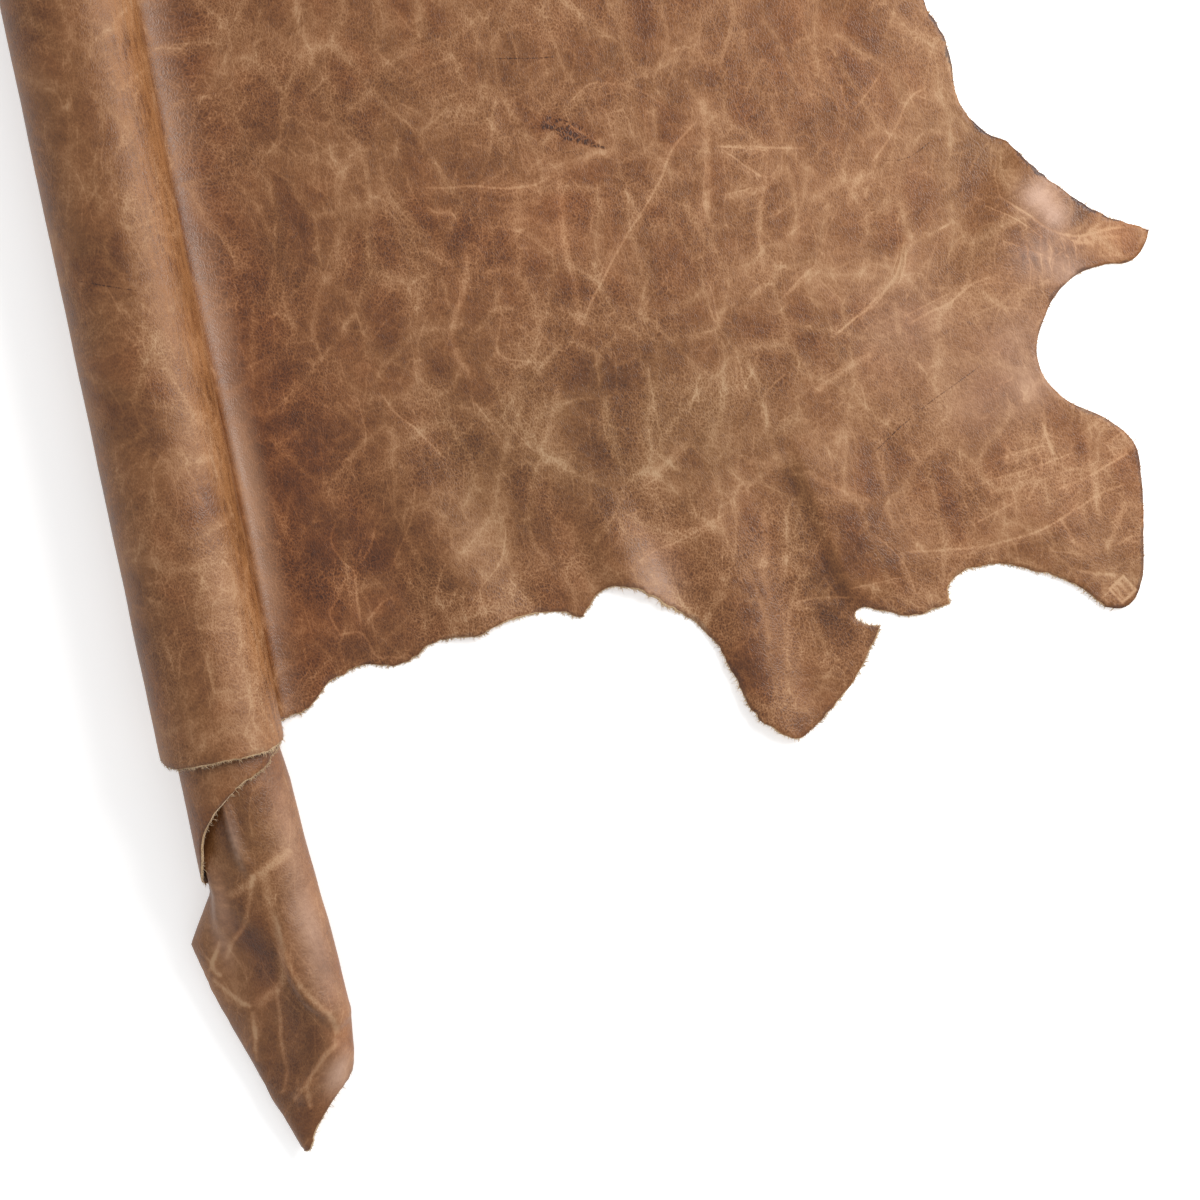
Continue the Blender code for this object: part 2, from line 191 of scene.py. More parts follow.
# sharper folds: a crest line, drawn towards the belly, and how far the fold reaches beside it
folds = [
    dict(
        name="shank fold", height=8.0, left=7, right=38, fade=(50, 14),
        line=(
            (-1090, -215), (-1094, -238), (-1096, -257), (-1099, -280), (-1096, -303), (-1088, -325),
            (-1078, -337), (-1067, -349), (-1060, -364),
        ),
    ),
    dict(
        name="shank tip fold", height=4.5, left=9, right=30, fade=(12, 16),
        line=((-1060, -368), (-1074, -383), (-1084, -396), (-1092, -406), (-1109, -422)),
    ),
    dict(
        name="shank pleat", height=5.0, left=8, right=8, fade=(10, 22),
        line=((-1119, -105), (-1117, -138), (-1116, -157), (-1114, -173), (-1110, -198)),
    ),
    dict(
        name="shank side pleat", height=6.0, left=13, right=12, fade=(20, 28),
        line=((-1159, -150), (-1153, -185), (-1152, -209), (-1157, -230), (-1166, -252)),
    ),
    dict(
        name="elbow fold", height=4.8, left=13, right=96, fade=(60, 34),
        line=((228, 128), (226, 80), (234, 40), (240, 5), (247, -33), (255, -66)),
    ),
    dict(
        name="neck fold", height=1.6, left=7, right=12, fade=(16, 30),
        line=((374, 296), (370, 275), (358, 254), (332, 232)),
    ),
]


def smooth(share):
    share = np.clip(share, 0, 1)
    return share * share * (3 - 2 * share)


def footAt(along):
    climbed = np.maximum((along - winding["footStart"]) / winding["footRun"], 0)
    return winding["foot"] + winding["footDrift"] * climbed


def quarterTurn(start, end, fromSide, fullness=2.0):
    turn = np.linspace(0, math.pi / 2, winding["arcSteps"] + 1)[1:]
    near, far = np.cos(turn).clip(0) ** (2 / fullness), np.sin(turn) ** (2 / fullness)
    if fromSide:
        return np.stack([end[0] + (start[0] - end[0]) * near, start[1] + (end[1] - start[1]) * far], 1)
    return np.stack([start[0] + (end[0] - start[0]) * far, end[1] + (start[1] - end[1]) * near], 1)


def shankSection(along):
    stations = [row["along"] * mm for row in shankSections]
    if along >= stations[0]:
        return shankSections[0]
    below = next((i for i, station in enumerate(stations) if along > station), len(stations) - 1)
    first, last = shankSections[below - 1], shankSections[below]
    share = min((along - stations[below - 1]) / (stations[below] - stations[below - 1]), 1.0)
    return {k: np.array(v) * (1 - share) + np.array(last[k]) * share for k, v in first.items()}


def turnStops(along):
    shank, rolled = shankSection(along), shankSections[0]
    stops = []
    for number, turn in enumerate(turns):
        turn = {k: np.array(v, float) for k, v in turn.items()}
        turn["slope"] = winding["round"]
        if number == 1:
            turn["bottom"], turn["flatTo"] = shank["under"][0], shank["seat"]
        if number in (1, 2):
            turn["right"] += np.array(shank["right"]) - rolled["right"]
        if number in (2, 3):
            turn["top"] += np.array(shank["top"]) - rolled["top"]
            turn["left"] += np.array(shank["left"]) - rolled["left"]
            turn["bottom"] += shank["under"][1] - rolled["under"][1]
            turn["flatFrom"] = turn["left"][0] + winding["foldReach"]
            turn["flatTo"] += shank["seat"] - rolled["seat"]
            turn["slope"] = shank["slope"]
        stops.append(turn)
    return stops


def climb(along, crown):
    t = np.linspace(0, 1, 2 * winding["arcSteps"] + 1)[:, None]
    foot, rest = footAt(along) / mm, winding["thickness"] / 2 / mm
    start, startHandle = (foot, rest), (foot - winding["footHandle"], rest)
    crownHandle = (crown[0] + winding["topHandle"], crown[1])
    weights = ((1 - t) ** 3, 3 * t * (1 - t) ** 2, 3 * t**2 * (1 - t), t**3)
    handles = (start, startHandle, crownHandle, crown)
    return sum(weight * np.array(handle) for weight, handle in zip(weights, handles))


def drawSection(along):
    # one section of the winding: its points and the length of leather up to each
    stops = turnStops(along)
    pieces = [climb(along, stops[0]["top"])]
    for turn, after in zip(stops, (*stops[1:], None)):
        seat = (turn["flatTo"], turn["bottom"])
        pieces.append(quarterTurn(turn["top"], turn["left"], False, turn["slope"]))
        pieces.append(quarterTurn(turn["left"], (turn["flatFrom"], turn["bottom"]), True))
        pieces.append(np.array([seat]))
        pieces.append(quarterTurn(seat, turn["right"], False))
        if after:
            pieces.append(quarterTurn(turn["right"], after["top"], True))
    path = np.concatenate(pieces)
    ends = np.cumsum([len(piece) for piece in pieces]) - 1
    widen = 1 + winding["taper"] * (footAt(along) - winding["foot"]) / winding["footDrift"]
    crown = ends[0]
    share = np.linspace(0, 1, crown + 1)
    path[:crown, 0] += ((path[crown, 0] - winding["left"]) * (widen - 1) * share)[:crown]
    path[crown:, 0] = winding["left"] + (path[crown:, 0] - winding["left"]) * widen
    path = path * mm
    wound = np.concatenate([[0], np.cumsum(np.hypot(*np.diff(path, axis=0).T))])
    return path, wound, ends[underShank], ends[shankFold]


def easeFoot(rows, lengths, places):
    # softens the bend where the leather rises from the floor
    step = (lengths[1] - lengths[0]) / mm
    eased = places.copy()
    tuck = smooth((lengths - footBend["tuckFrom"]) / footBend["tuckRun"])
    tuck = tuck * (1 - smooth((lengths - footBend["tuckTo"]) / footBend["tuckFade"]))
    for row, along in enumerate(rows):
        far = float(smooth((along - footBend["farFrom"]) / footBend["farRun"]))
        ends = (footBend["ease"], footBend["tuck"], footBend["easedTo"])
        ease, tucked, upTo = (near + (end - near) * far for near, end in ends)
        reach = int(footBend["kernelReach"] * ease / step)
        kernel = np.exp(-0.5 * (np.arange(-reach, reach + 1) * step / ease) ** 2)
        kernel /= kernel.sum()
        share = 1 - smooth((lengths - upTo) / upTo)
        for k in range(2):
            line = places[row, :, k]
            lead = line[0] + (line[1] - line[0]) * np.arange(-reach, 0)
            blurred = np.convolve(np.concatenate([lead, line, np.full(reach, line[-1])]), kernel, "valid")
            eased[row, :, k] = line * (1 - share) + blurred * share
        eased[row, :, 0] -= tuck * mm * tucked
    return eased


def tabulateWinding():
    # sections all along the roll, closer together in the shank
    shankTop = shankSections[0]["along"] * mm
    shankRows = np.arange(winding["shankFrom"], shankTop, winding["shankStep"])
    rows = np.concatenate([shankRows, np.arange(shankTop, winding["rollTo"], winding["rollStep"])])
    lengths = np.arange(-winding["leadIn"], winding["woundTo"], winding["woundStep"])
    _, rolledWound, _, fold = drawSection(shankTop)
    foldWound = rolledWound[fold]
    places = np.empty((len(rows), len(lengths), 2))
    for i, along in enumerate(rows):
        path, wound, under, fold = drawSection(along)
        if along < shankTop:
            drawn = (0, wound[under], wound[fold], wound[-1])
            meant = (0, wound[under], foldWound, foldWound + wound[-1] - wound[fold])
            wound = np.interp(wound, drawn, meant)
        path = np.vstack([path[:1] + (2 * winding["leadIn"], 0), path])
        wound = np.concatenate([[-2 * winding["leadIn"]], wound])
        places[i, :, 0] = np.interp(lengths, wound, path[:, 0])
        places[i, :, 1] = np.interp(lengths, wound, path[:, 1])
    return rows, lengths, easeFoot(rows, lengths, places)


windRows, windLengths, windPlaces = tabulateWinding()


noiseCells = 96  # after so many its values repeat


def softNoise(x, y, size, seed):
    # smooth random values from -1 to 1, this far apart
    values = np.random.default_rng(seed).uniform(-1, 1, (noiseCells + 1, noiseCells + 1))
    x, y = np.asarray(x) / size, np.asarray(y) / size
    i, j = np.floor(x).astype(int), np.floor(y).astype(int)
    u, v = smooth(x - i), smooth(y - j)
    i, j = i % noiseCells, j % noiseCells
    low = values[i, j] * (1 - u) + values[i + 1, j] * u
    high = values[i, j + 1] * (1 - u) + values[i + 1, j + 1] * u
    return low * (1 - v) + high * v


# the points of a listed line, and how it wavers (mm)
handLine = dict(step=3.4, waver=1.1, waverSize=26)


def roundedLine(line, seed=None):
    # a smooth line through the marks, in metres, slightly unsteady if it has a seed
    marks = np.array(line, float)
    before, after = 2 * marks[0] - marks[1], 2 * marks[-1] - marks[-2]
    marks = np.vstack([before, marks, after])
    points = []
    for a, b, c, d in zip(marks, marks[1:], marks[2:], marks[3:]):
        steps = max(int(np.linalg.norm(c - b) / handLine["step"]), 1)
        t = np.linspace(0, 1, steps, endpoint=False)[:, None]
        bend = (2 * a - 5 * b + 4 * c - d) * t**2 + (3 * b - a - 3 * c + d) * t**3
        points.append(0.5 * (2 * b + (c - a) * t + bend))
    points = np.vstack([*points, marks[-2:-1]]) * mm
    if seed is not None:
        spot = np.arange(len(points)) * handLine["step"]
        for k in range(2):
            waver = softNoise(spot, spot * 0, handLine["waverSize"], seed + k)
            points[:, k] += waver * handLine["waver"] * mm
    return points


def measureLine(line, here, reach):
    # signed distance from the line and the place along it, for the points within this reach
    low, high = line.min(0) - reach, line.max(0) + reach
    near = np.flatnonzero((here > low).all(1) & (here < high).all(1))
    start, run = line[:-1], np.diff(line, axis=0)
    length = np.hypot(run[:, 0], run[:, 1])
    gap = here[near][:, None, :] - start[None]
    share = np.clip((gap * run).sum(2) / length**2, 0, 1)
    away = gap - run * share[..., None]
    distance = np.hypot(away[..., 0], away[..., 1])
    closest = distance.argmin(1)
    row = np.arange(len(near))
    side = np.sign(run[closest, 0] * gap[row, closest, 1] - run[closest, 1] * gap[row, closest, 0])
    travelled = np.concatenate([[0], np.cumsum(length)])
    spot = travelled[closest] + share[row, closest] * length[closest]
    distance = distance[row, closest]
    kept = distance < reach
    return near[kept], (distance * side)[kept], spot[kept], travelled[-1]


def ridgeHeight(across, along):
    height = np.zeros_like(across)
    for ridge in ridges:
        edge, inner = np.array(ridge["edge"]) * mm, np.array(ridge["inner"]) * mm
        line = inner - edge
        hereX, hereY = across - edge[0], along - edge[1]
        share = (hereX * line[0] + hereY * line[1]) / (line @ line)
        aside = np.hypot(hereX - line[0] * share, hereY - line[1] * share) / (ridge["reach"] * mm)
        bump = ridge["height"] * mm * (1 - np.minimum(aside, 1) ** 2) ** 2 * (1 - smooth(share))
        height += np.where(share < 1, bump, 0)
    return height * smooth((across - winding["foot"] - winding["footDrift"]) / ridgeFade)


def foldHeight(across, along):
    height = np.zeros_like(across)
    here = np.stack([across, along], 1)
    for fold in folds:
        reach = max(fold["left"], fold["right"]) * mm
        near, distance, spot, length = measureLine(roundedLine(fold["line"]), here, reach)
        reach = np.where(distance > 0, fold["right"], fold["left"]) * mm
        ends = smooth(spot / mm / fold["fade"][0]) * smooth((length - spot) / mm / fold["fade"][1])
        height[near] += fold["height"] * mm * ends * (1 - smooth(abs(distance) / reach))
    return height


def dentDepth(wound, along):
    depth = np.zeros_like(wound)
    for dent in dents:
        away = ((wound / mm - dent["wound"]) / dent["acrossReach"]) ** 2
        away = away + ((along / mm - dent["along"]) / dent["alongReach"]) ** 2
        depth += dent["depth"] * mm * (1 - np.minimum(away, 1)) ** 2
    return depth


def middleOf(across, along):
    # where the middle layer of the leather lies
    wound = footAt(along) - across
    row = np.clip(np.searchsorted(windRows, along) - 1, 0, len(windRows) - 2)
    rowShare = np.clip((along - windRows[row]) / (windRows[row + 1] - windRows[row]), 0, 1)[:, None]
    spot = (wound - windLengths[0]) / (windLengths[1] - windLengths[0])
    spot = np.clip(spot, 0, len(windLengths) - 1.001)
    column = spot.astype(int)
    share = (spot - column)[:, None]
    near = windPlaces[row, column] * (1 - share) + windPlaces[row, column + 1] * share
    far = windPlaces[row + 1, column] * (1 - share) + windPlaces[row + 1, column + 1] * share
    place = near * (1 - rowShare) + far * rowShare
    flat = wound <= windLengths[0]
    x = np.where(flat, across, place[:, 0])
    z = np.where(flat, winding["thickness"] / 2, place[:, 1]) + ridgeHeight(across, along)
    return np.stack([x, along, z], 1)


def facing(across, along, step=0.0015):
    beside = middleOf(across + step, along) - middleOf(across - step, along)
    ahead = middleOf(across, along + step) - middleOf(across, along - step)
    normal = np.cross(beside, ahead)
    return normal / np.linalg.norm(normal, axis=1)[:, None]


# the neck flap's tip and the shank's tip fix where the measures lie in the frame
sidePlace = (cadHigh.x - 614 * mm, cadLow.y + 477 * mm)


def placeLeather(across, along, lift):
    # in the frame: lifted off the middle layer towards the grain, with the dents pressed in
    rise = foldHeight(across, along) - dentDepth(footAt(along) - across, along)
    place = middleOf(across, along) + facing(across, along) * (lift + rise)[:, None]
    return place + (*sidePlace, 0)


def drawCutLine():
    # a curve through the marks, made points
    marks = []
    for number, stretch in enumerate(cutLine):
        for i, (across, along) in enumerate(stretch["marks"]):
            across, along = across * mm, along * mm
            if stretch.get("rolled"):
                across = float(footAt(along)) - across
            marks.append((across, along, i in stretch.get("corners", ()), number))
    curve = bpy.data.curves.new("cut line", "CURVE")
    curve.dimensions = "2D"
    curve.fill_mode = "NONE"
    curve.resolution_u = sheetMesh["curveSteps"]
    spline = curve.splines.new("BEZIER")
    spline.bezier_points.add(len(marks) - 1)
    for point, (across, along, corner, _) in zip(spline.bezier_points, marks):
        point.co = (across, along, 0)
        point.handle_left_type = point.handle_right_type = "VECTOR" if corner else "AUTO"
    spline.use_cyclic_u = True
    guide = bpy.data.objects.new("cut line", curve)
    bpy.context.scene.collection.objects.link(guide)
    graph = bpy.context.evaluated_depsgraph_get()
    drawn = bpy.data.meshes.new_from_object(guide.evaluated_get(graph))
    points = np.array([v.co[:2] for v in drawn.vertices])
    bpy.data.objects.remove(guide)
    bpy.data.curves.remove(curve)
    bpy.data.meshes.remove(drawn)
    return points, marks


# Creases and scratches of the grain, each a line over the leather (across, along).
# width: half the width of its core, wearAndShade: above 0 how far the wax has parted, below 0 painted
# shade, how dark a band laid along a fold's shaded side is; halo: the soft worn band beside it, depth: of
# the trough it makes
creaseGroups = [
    dict(
        name="long folds", width=1.4, wearAndShade=0.40, halo=0.45, depth=0.3,
        lines=[
            ((199, 451), (164, 425), (146, 398), (119, 368), (93, 341), (65, 308), (33, 263)),
            ((-90, 440), (-36, 430), (17, 419), (41, 425), (49, 424)),
            ((-173, 254), (-160, 224), (-144, 204), (-129, 182), (-119, 165)),
            ((551, 35), (524, 26), (496, 18), (463, 12)),
            ((303, -15), (343, -22), (393, -27), (445, -23), (500, -4), (543, 7)),
            ((368, 280), (362, 262), (353, 250), (338, 241), (316, 227), (281, 208)),
            ((430, 436), (407, 425), (377, 390), (352, 366)),
            ((208, 419), (251, 410), (301, 397)),
            ((374, 296), (368, 279), (358, 258), (348, 247), (332, 234), (306, 222), (279, 206)),
            ((353, 203), (383, 214), (401, 217), (431, 231), (458, 235)),
            ((42, 28), (60, 35), (90, 42), (118, 50), (147, 60)),
            ((181, -44), (213, -44), (253, -51)),
            ((280, 285), (257, 269), (238, 254)),
        ],
    ),
    dict(
        name="shank crest", width=2.8, wearAndShade=0.52, halo=0.34, depth=0.0, fade=8.0,
        lines=[
            (
                (-1098, -232), (-1099, -250), (-1097, -273), (-1095, -291), (-1091, -306), (-1082, -324),
                (-1073, -341), (-1067, -354), (-1061, -367),
            ),
            ((-1061, -369), (-1073, -379), (-1083, -393), (-1092, -406), (-1101, -417), (-1110, -426)),
        ],
    ),
    dict(
        name="shank folds", width=2.8, wearAndShade=0.50, halo=0.42, depth=0.0, fade=3.0,
        lines=[
            ((-1150, -323), (-1152, -341), (-1154, -360), (-1153, -380)),
            ((-1118, -307), (-1122, -332), (-1124, -354), (-1121, -378), (-1117, -396), (-1120, -416)),
            ((-1109, -189), (-1116, -207), (-1122, -222), (-1134, -241), (-1154, -256), (-1168, -272)),
            ((-1092, -406), (-1090, -421), (-1087, -434)),
            ((-1165, -251), (-1176, -265), (-1185, -277), (-1176, -289)),
            ((-1191, -286), (-1179, -298), (-1164, -313), (-1149, -323)),
        ],
    ),
    dict(
        name="shank faint folds", width=2.2, wearAndShade=0.24, halo=0.40, depth=0.0, fade=6.0,
        lines=[
            ((-1110, -306), (-1101, -322), (-1089, -338), (-1077, -355)),
            ((-1123, -232), (-1140, -246), (-1155, -256)),
            ((-1172, -259), (-1184, -272), (-1194, -283)),
        ],
    ),
    dict(
        name="shank bands", width=5.4, wearAndShade=0.52, halo=0.34, depth=0.0, fade=9.0,
        lines=[
            (
                (-1097, -190), (-1100, -210), (-1101, -226), (-1102, -249), (-1101, -268), (-1104, -285),
                (-1110, -300), (-1121, -309), (-1135, -317), (-1148, -324),
            ),
            ((-1144, -209), (-1129, -205), (-1111, -197), (-1093, -188), (-1079, -182), (-1062, -177)),
        ],
    ),
    dict(
        name="soft bands", width=3.8, wearAndShade=0.26, halo=0.60, depth=0.1,
        lines=[
            ((49, 424), (40, 365), (41, 337), (41, 308), (36, 268)),
            ((-54, 372), (-69, 332), (-87, 300), (-89, 273), (-79, 240)),
            ((7, 224), (-10, 186), (-29, 154)),
            ((204, 478), (201, 438), (193, 388), (181, 340)),
            ((245, 373), (234, 334), (229, 297), (230, 283)),
            ((430, 436), (437, 418), (444, 405)),
            ((321, 328), (336, 353), (352, 366)),
            ((60, 110), (86, 115), (121, 138)),
            ((178, 63), (175, 21), (165, -7), (165, -26), (164, -45)),
            ((246, 157), (293, 178), (326, 186)),
            ((460, 107), (477, 126), (497, 134)),
            ((223, 86), (258, 58), (294, 35)),
            ((145, 10), (157, -33), (156, -84)),
            ((-96, 416), (-64, 409), (-60, 393)),
            ((197, 367), (244, 367), (251, 372), (277, 389)),
            ((512, 66), (510, 44), (509, 13), (506, -25)),
            ((533, -12), (522, -32), (505, -60)),
        ],
    ),
    dict(
        name="fine folds", width=1.1, wearAndShade=0.33, halo=0.35, depth=0.15,
        lines=[
            ((-193, 261), (-194, 230), (-194, 213), (-200, 191)),
            ((-154, 160), (-166, 122), (-182, 95), (-199, 71)),
            ((-136, 9), (-115, 35), (-90, 57), (-73, 97)),
            ((-115, 35), (-114, -4)),
            ((-89, 47), (-61, 1)),
            ((-117, 25), (-155, 41), (-174, 47)),
            ((-140, 73), (-159, 34), (-143, 25)),
            ((-85, 228), (-64, 182)),
            ((-78, 203), (-46, 157)),
            ((-62, 205), (-31, 155)),
            ((-45, 286), (-46, 260), (-19, 248), (6, 242)),
            ((-10, 263), (-21, 248)),
            ((146, 360), (134, 356), (126, 343)),
            ((141, 199), (136, 165)),
            ((42, 196), (39, 163), (41, 145)),
            ((61, 481), (86, 501), (107, 506), (145, 489), (169, 467)),
            ((213, 415), (245, 382), (251, 374)),
            ((344, 464), (342, 444), (346, 425), (367, 439), (388, 459)),
            ((243, 255), (276, 281)),
            ((278, 276), (289, 255), (298, 238)),
            ((225, 239), (248, 254)),
            ((350, 212), (379, 221), (412, 229)),
            ((166, 302), (174, 280), (174, 251), (174, 239)),
            ((186, 226), (185, 206), (186, 180), (194, 163)),
            ((384, 47), (421, 56), (462, 59), (482, 53)),
            ((390, 34), (427, 37), (478, 44), (501, 47)),
            ((495, 58), (526, 72), (553, 77)),
            ((372, -7), (410, 5), (432, 12)),
            ((441, -41), (489, -58)),
            ((477, -112), (525, -81)),
            ((237, -40), (267, -41), (308, -40)),
            ((313, -67), (302, -23), (279, 12)),
            ((196, -42), (214, -5), (242, 30)),
            ((57, 482), (78, 462), (97, 443)),
            ((373, 289), (368, 267), (360, 250), (350, 240)),
            ((284, 268), (293, 252), (301, 236)),
            ((283, 356), (259, 343), (237, 339)),
            ((290, 333), (262, 319), (251, 315)),
            ((203, 420), (263, 405)),
            ((230, 399), (251, 379), (274, 395)),
            ((198, 371), (244, 372)),
            ((236, 188), (217, 177), (200, 165)),
            ((286, 177), (263, 171), (250, 163)),
            ((183, 207), (180, 182), (180, 165)),
            ((194, 65), (198, 41), (192, 7), (183, -20)),
            ((57, 98), (93, 114), (113, 129), (124, 133)),
            ((211, -95), (200, -119)),
        ],
    ),
    # painted shade: dark bands along the shaded left sides of the shank's fold and pleats
    dict(
        name="painted shade beside the shank folds", width=4.6, wearAndShade=-0.15, halo=0.0, depth=0.0,
        lines=[
            ((-1106, -300), (-1095, -325), (-1084, -341), (-1072, -357)),
            ((-1127, -122), (-1125, -150), (-1121, -176)),
            ((-1166, -172), (-1162, -205), (-1168, -235)),
        ],
    ),
    # painted shade: a dark band along the shaded side of the elbow fold
    dict(
        name="painted shade in the elbow fold", width=4.4, wearAndShade=-0.24, halo=0.0, depth=0.0, fade=40.0,
        lines=[((209, 133), (208, 109), (209, 88), (214, 61), (221, 34), (227, 2), (232, -24), (238, -70))],
    ),
    dict(
        name="neck crease", width=1.4, wearAndShade=0.64, halo=0.22, depth=0.3, fade=22.0,
        lines=[
            (
                (471, 312), (487, 298), (498, 288), (510, 275), (521, 267), (533, 261), (545, 257),
                (556, 256), (570, 257), (584, 257), (599, 255),
            ),
        ],
    ),
    dict(
        name="neck wrinkles", width=0.9, wearAndShade=0.50, halo=0.20, depth=0.12, fade=4.0,
        lines=[
            ((458, 306), (488, 283), (510, 261)),
            ((466, 269), (493, 253), (518, 235)),
            ((489, 248), (490, 234), (485, 212)),
            ((527, 246), (515, 240), (511, 227)),
        ],
    ),
    dict(
        name="cheek folds", width=1.9, wearAndShade=0.36, halo=0.35, depth=0.1, fade=8.0,
        lines=[
            ((469, 84), (471, 67), (473, 44)),
            ((466, -14), (471, -29), (478, -50)),
            ((542, -46), (527, -50), (513, -55)),
            ((470, -69), (490, -77), (516, -85)),
            ((526, -78), (519, -86)),
        ],
    ),
    dict(
        name="creases at the foot", width=1.5, wearAndShade=0.42, halo=0.34, depth=0.4,
        lines=[
            ((-240, 133), (-250, 114), (-241, 87), (-234, 78), (-238, 40), (-240, 18)),
            ((-202, 120), (-214, 99), (-230, 82)),
            ((-239, 83), (-256, 56), (-267, 44), (-266, 31), (-258, 14)),
            ((-270, 19), (-240, 18), (-229, -8), (-196, -18)),
            ((-240, 20), (-216, 42), (-192, 49)),
        ],
    ),
]
# dark scratches and an old healed wound, finer than the creases
scratches = named("width dark line", [
    (0.7, 0.42, ((350, 118), (329, 106), (315, 97), (300, 88))),
    (0.7, 0.36, ((343, 115), (372, 128), (390, 136), (421, 150))),
    (0.7, 0.34, ((366, 371), (393, 368), (422, 381))),
    (0.8, 0.30, ((8, 552), (38, 545), (72, 540))),
    (0.8, 0.30, ((-498, 410), (-470, 398), (-437, 386))),
    (4.2, 0.36, ((38, 478), (62, 466), (88, 450))),
    (1.2, 0.34, ((46, 485), (66, 475), (86, 463))),
    (2.4, 0.52, ((56, 463), (76, 452), (102, 440))),
])
# the square print that each stretching clamp leaves near the edge: where, and how it is turned
clampPrints = dict(
    halfSize=10.5, square=(0.90, 1.12, 1.0, 0.0), rim=(0.62, 0.88), ridges=9.5, ridgeShare=(0.28, 0.55),
    places=((513, -98, 31, 1.0), (540, 43, 24, 0.40), (572, 240, -12, 0.3)),  # and how deep it is
)
# broad places that are darker or lighter, redder (above 0) or more olive (below 0)
tones = named("name at reach tone warm", [
    # darker beside the roll's foot: partly the leather's own tone, partly painted shade
    ("beside the foot", (-290, 250), (34, 460), -0.08, 0.6),
    ("hip", (-262, 190), (90, 190), -0.12, 0.7),
    # darker at the roll's foot: partly the leather's own tone, partly painted shade
    ("foot of the belly", (-278, 38), (34, 40), -0.16, 0.4),
    ("lower flank", (-190, 75), (60, 80), -0.12, 0.1),
    ("rib hollow", (-23, 373), (70, 55), -0.12, 0.6),
    ("ribs", (60, 415), (60, 40), 0.09, 0.3),
    ("midriff", (30, 165), (190, 75), -0.04, -0.9),
    ("above the navel", (-20, 66), (34, 44), -0.12, 0.2),
    # painted highlights: paler where the slopes of these two ridges catch the light
    ("navel ridge", (62, 25), (36, 52), 0.10, -0.2),
    ("belly ridge", (-105, 80), (34, 80), 0.19, -0.3),
    ("navel arch", (129, 126), (55, 50), 0.09, -0.3),
    ("elbow", (140, -80), (24, 70), -0.12, 0.0),
    ("elbow point", (170, -128), (26, 38), 0.12, 0.0),
    # painted shadow: darker along the shaded side of the elbow fold
    ("elbow dip", (215, 20), (17, 84), -0.11, -0.5),
    ("roll's left side", (-503, 437), (24, 30), 0.14, -0.2),
    # painted shade: darker in the valley by the notch
    ("notch", (230, -52), (26, 36), -0.30, 0.0),
    ("shoulder", (350, 250), (130, 120), 0.11, -0.1),
    ("withers", (310, 480), (90, 110), 0.01, 0.2),
    ("neck edge", (425, 440), (50, 90), 0.12, -0.3),
    ("throat", (480, 385), (50, 36), -0.10, -0.6),
    ("neck", (455, 300), (60, 60), 0.0, -0.4),
    ("neck flap", (575, 245), (50, 30), 0.10, 0.4),
    # painted shadow: dark where the neck flap falls away from the light
    ("neck corner", (548, 280), (12, 15), -0.34, -0.5),
    ("cheek", (490, 50), (90, 70), 0.10, 0.1),
    ("throat side", (413, 117), (50, 50), 0.14, -0.2),
    ("jaw", (450, -50), (44, 34), 0.09, -0.2),
    ("jaw corner", (520, -75), (34, 40), -0.04, -0.4),
    # painted highlight: paler on the shank's right-facing slopes
    ("shank right side", (-1050, -260), (20, 190), 0.16, 0.4),
    ("shank knuckle", (-1061, -348), (13, 28), 0.16, 0.0),
    ("shank tip", (-1098, -440), (26, 36), -0.10, 0.2),
    # painted highlight: paler on the right slope of the shank's fold
    ("shank crest", (-1078, -290), (16, 60), 0.06, -0.2),
    # painted shade: darker in the hollow left of the shank's fold
    ("shank hollow", (-1120, -262), (20, 44), -0.24, 0.3),
    ("shank, lower", (-1118, -365), (40, 60), -0.13, 0.3),
    ("old wound", (52, 477), (15, 9), -0.18, 0.6),
    ("old wound, middle", (70, 466), (14, 8), -0.18, 0.6),
    ("old wound, end", (88, 454), (13, 7), -0.16, 0.6),
    ("shank top", (-1112, -165), (36, 50), -0.10, -0.7),
])
# where the skin is gathered into small wrinkles, side by side
wrinkled = named("name at reach strength", [
    ("neck", (508, 243), (30, 22), 1.0),
    ("neck flap", (545, 250), (14, 12), 0.8),
    ("throat", (452, 118), (26, 18), 0.7),
    ("cheek", (440, 40), (34, 26), 0.45),
])
# painted sheen: pinkish highlights painted into the colour where slopes face the light; the stronger, the
# calmer the grain and the smoother its bump there
paintedSheens = named("name at reach strength", [
    ("neck", (514, 303), (19, 17), 0.76),
    ("neck, lower", (526, 281), (15, 12), 0.50),
    ("neck edge", (525, 273), (9, 12), 0.20),
    ("wrinkles", (507, 245), (30, 24), 0.36),
    ("throat corner", (527, 222), (17, 14), 0.40),
    ("throat", (465, 167), (36, 32), 0.20),
    ("throat's lower side", (465, 121), (24, 26), 0.24),
    ("shoulder", (355, 205), (46, 50), 0.14),
    ("throat side", (413, 117), (38, 38), 0.14),
    ("navel", (62, 8), (20, 34), 0.26),
    ("shank's right slope", (-1068, -268), (15, 62), 0.46),
    ("shank's middle", (-1062, -150), (14, 60), 0.20),
    ("shank's tip", (-1061, -404), (12, 20), 0.60),
    ("shank pleat", (-1117, -152), (4, 26), 0.46),
    ("shank's left slope", (-1152, -214), (11, 30), 0.30),
    ("shank's left foot", (-1166, -252), (8, 24), 0.26),
])
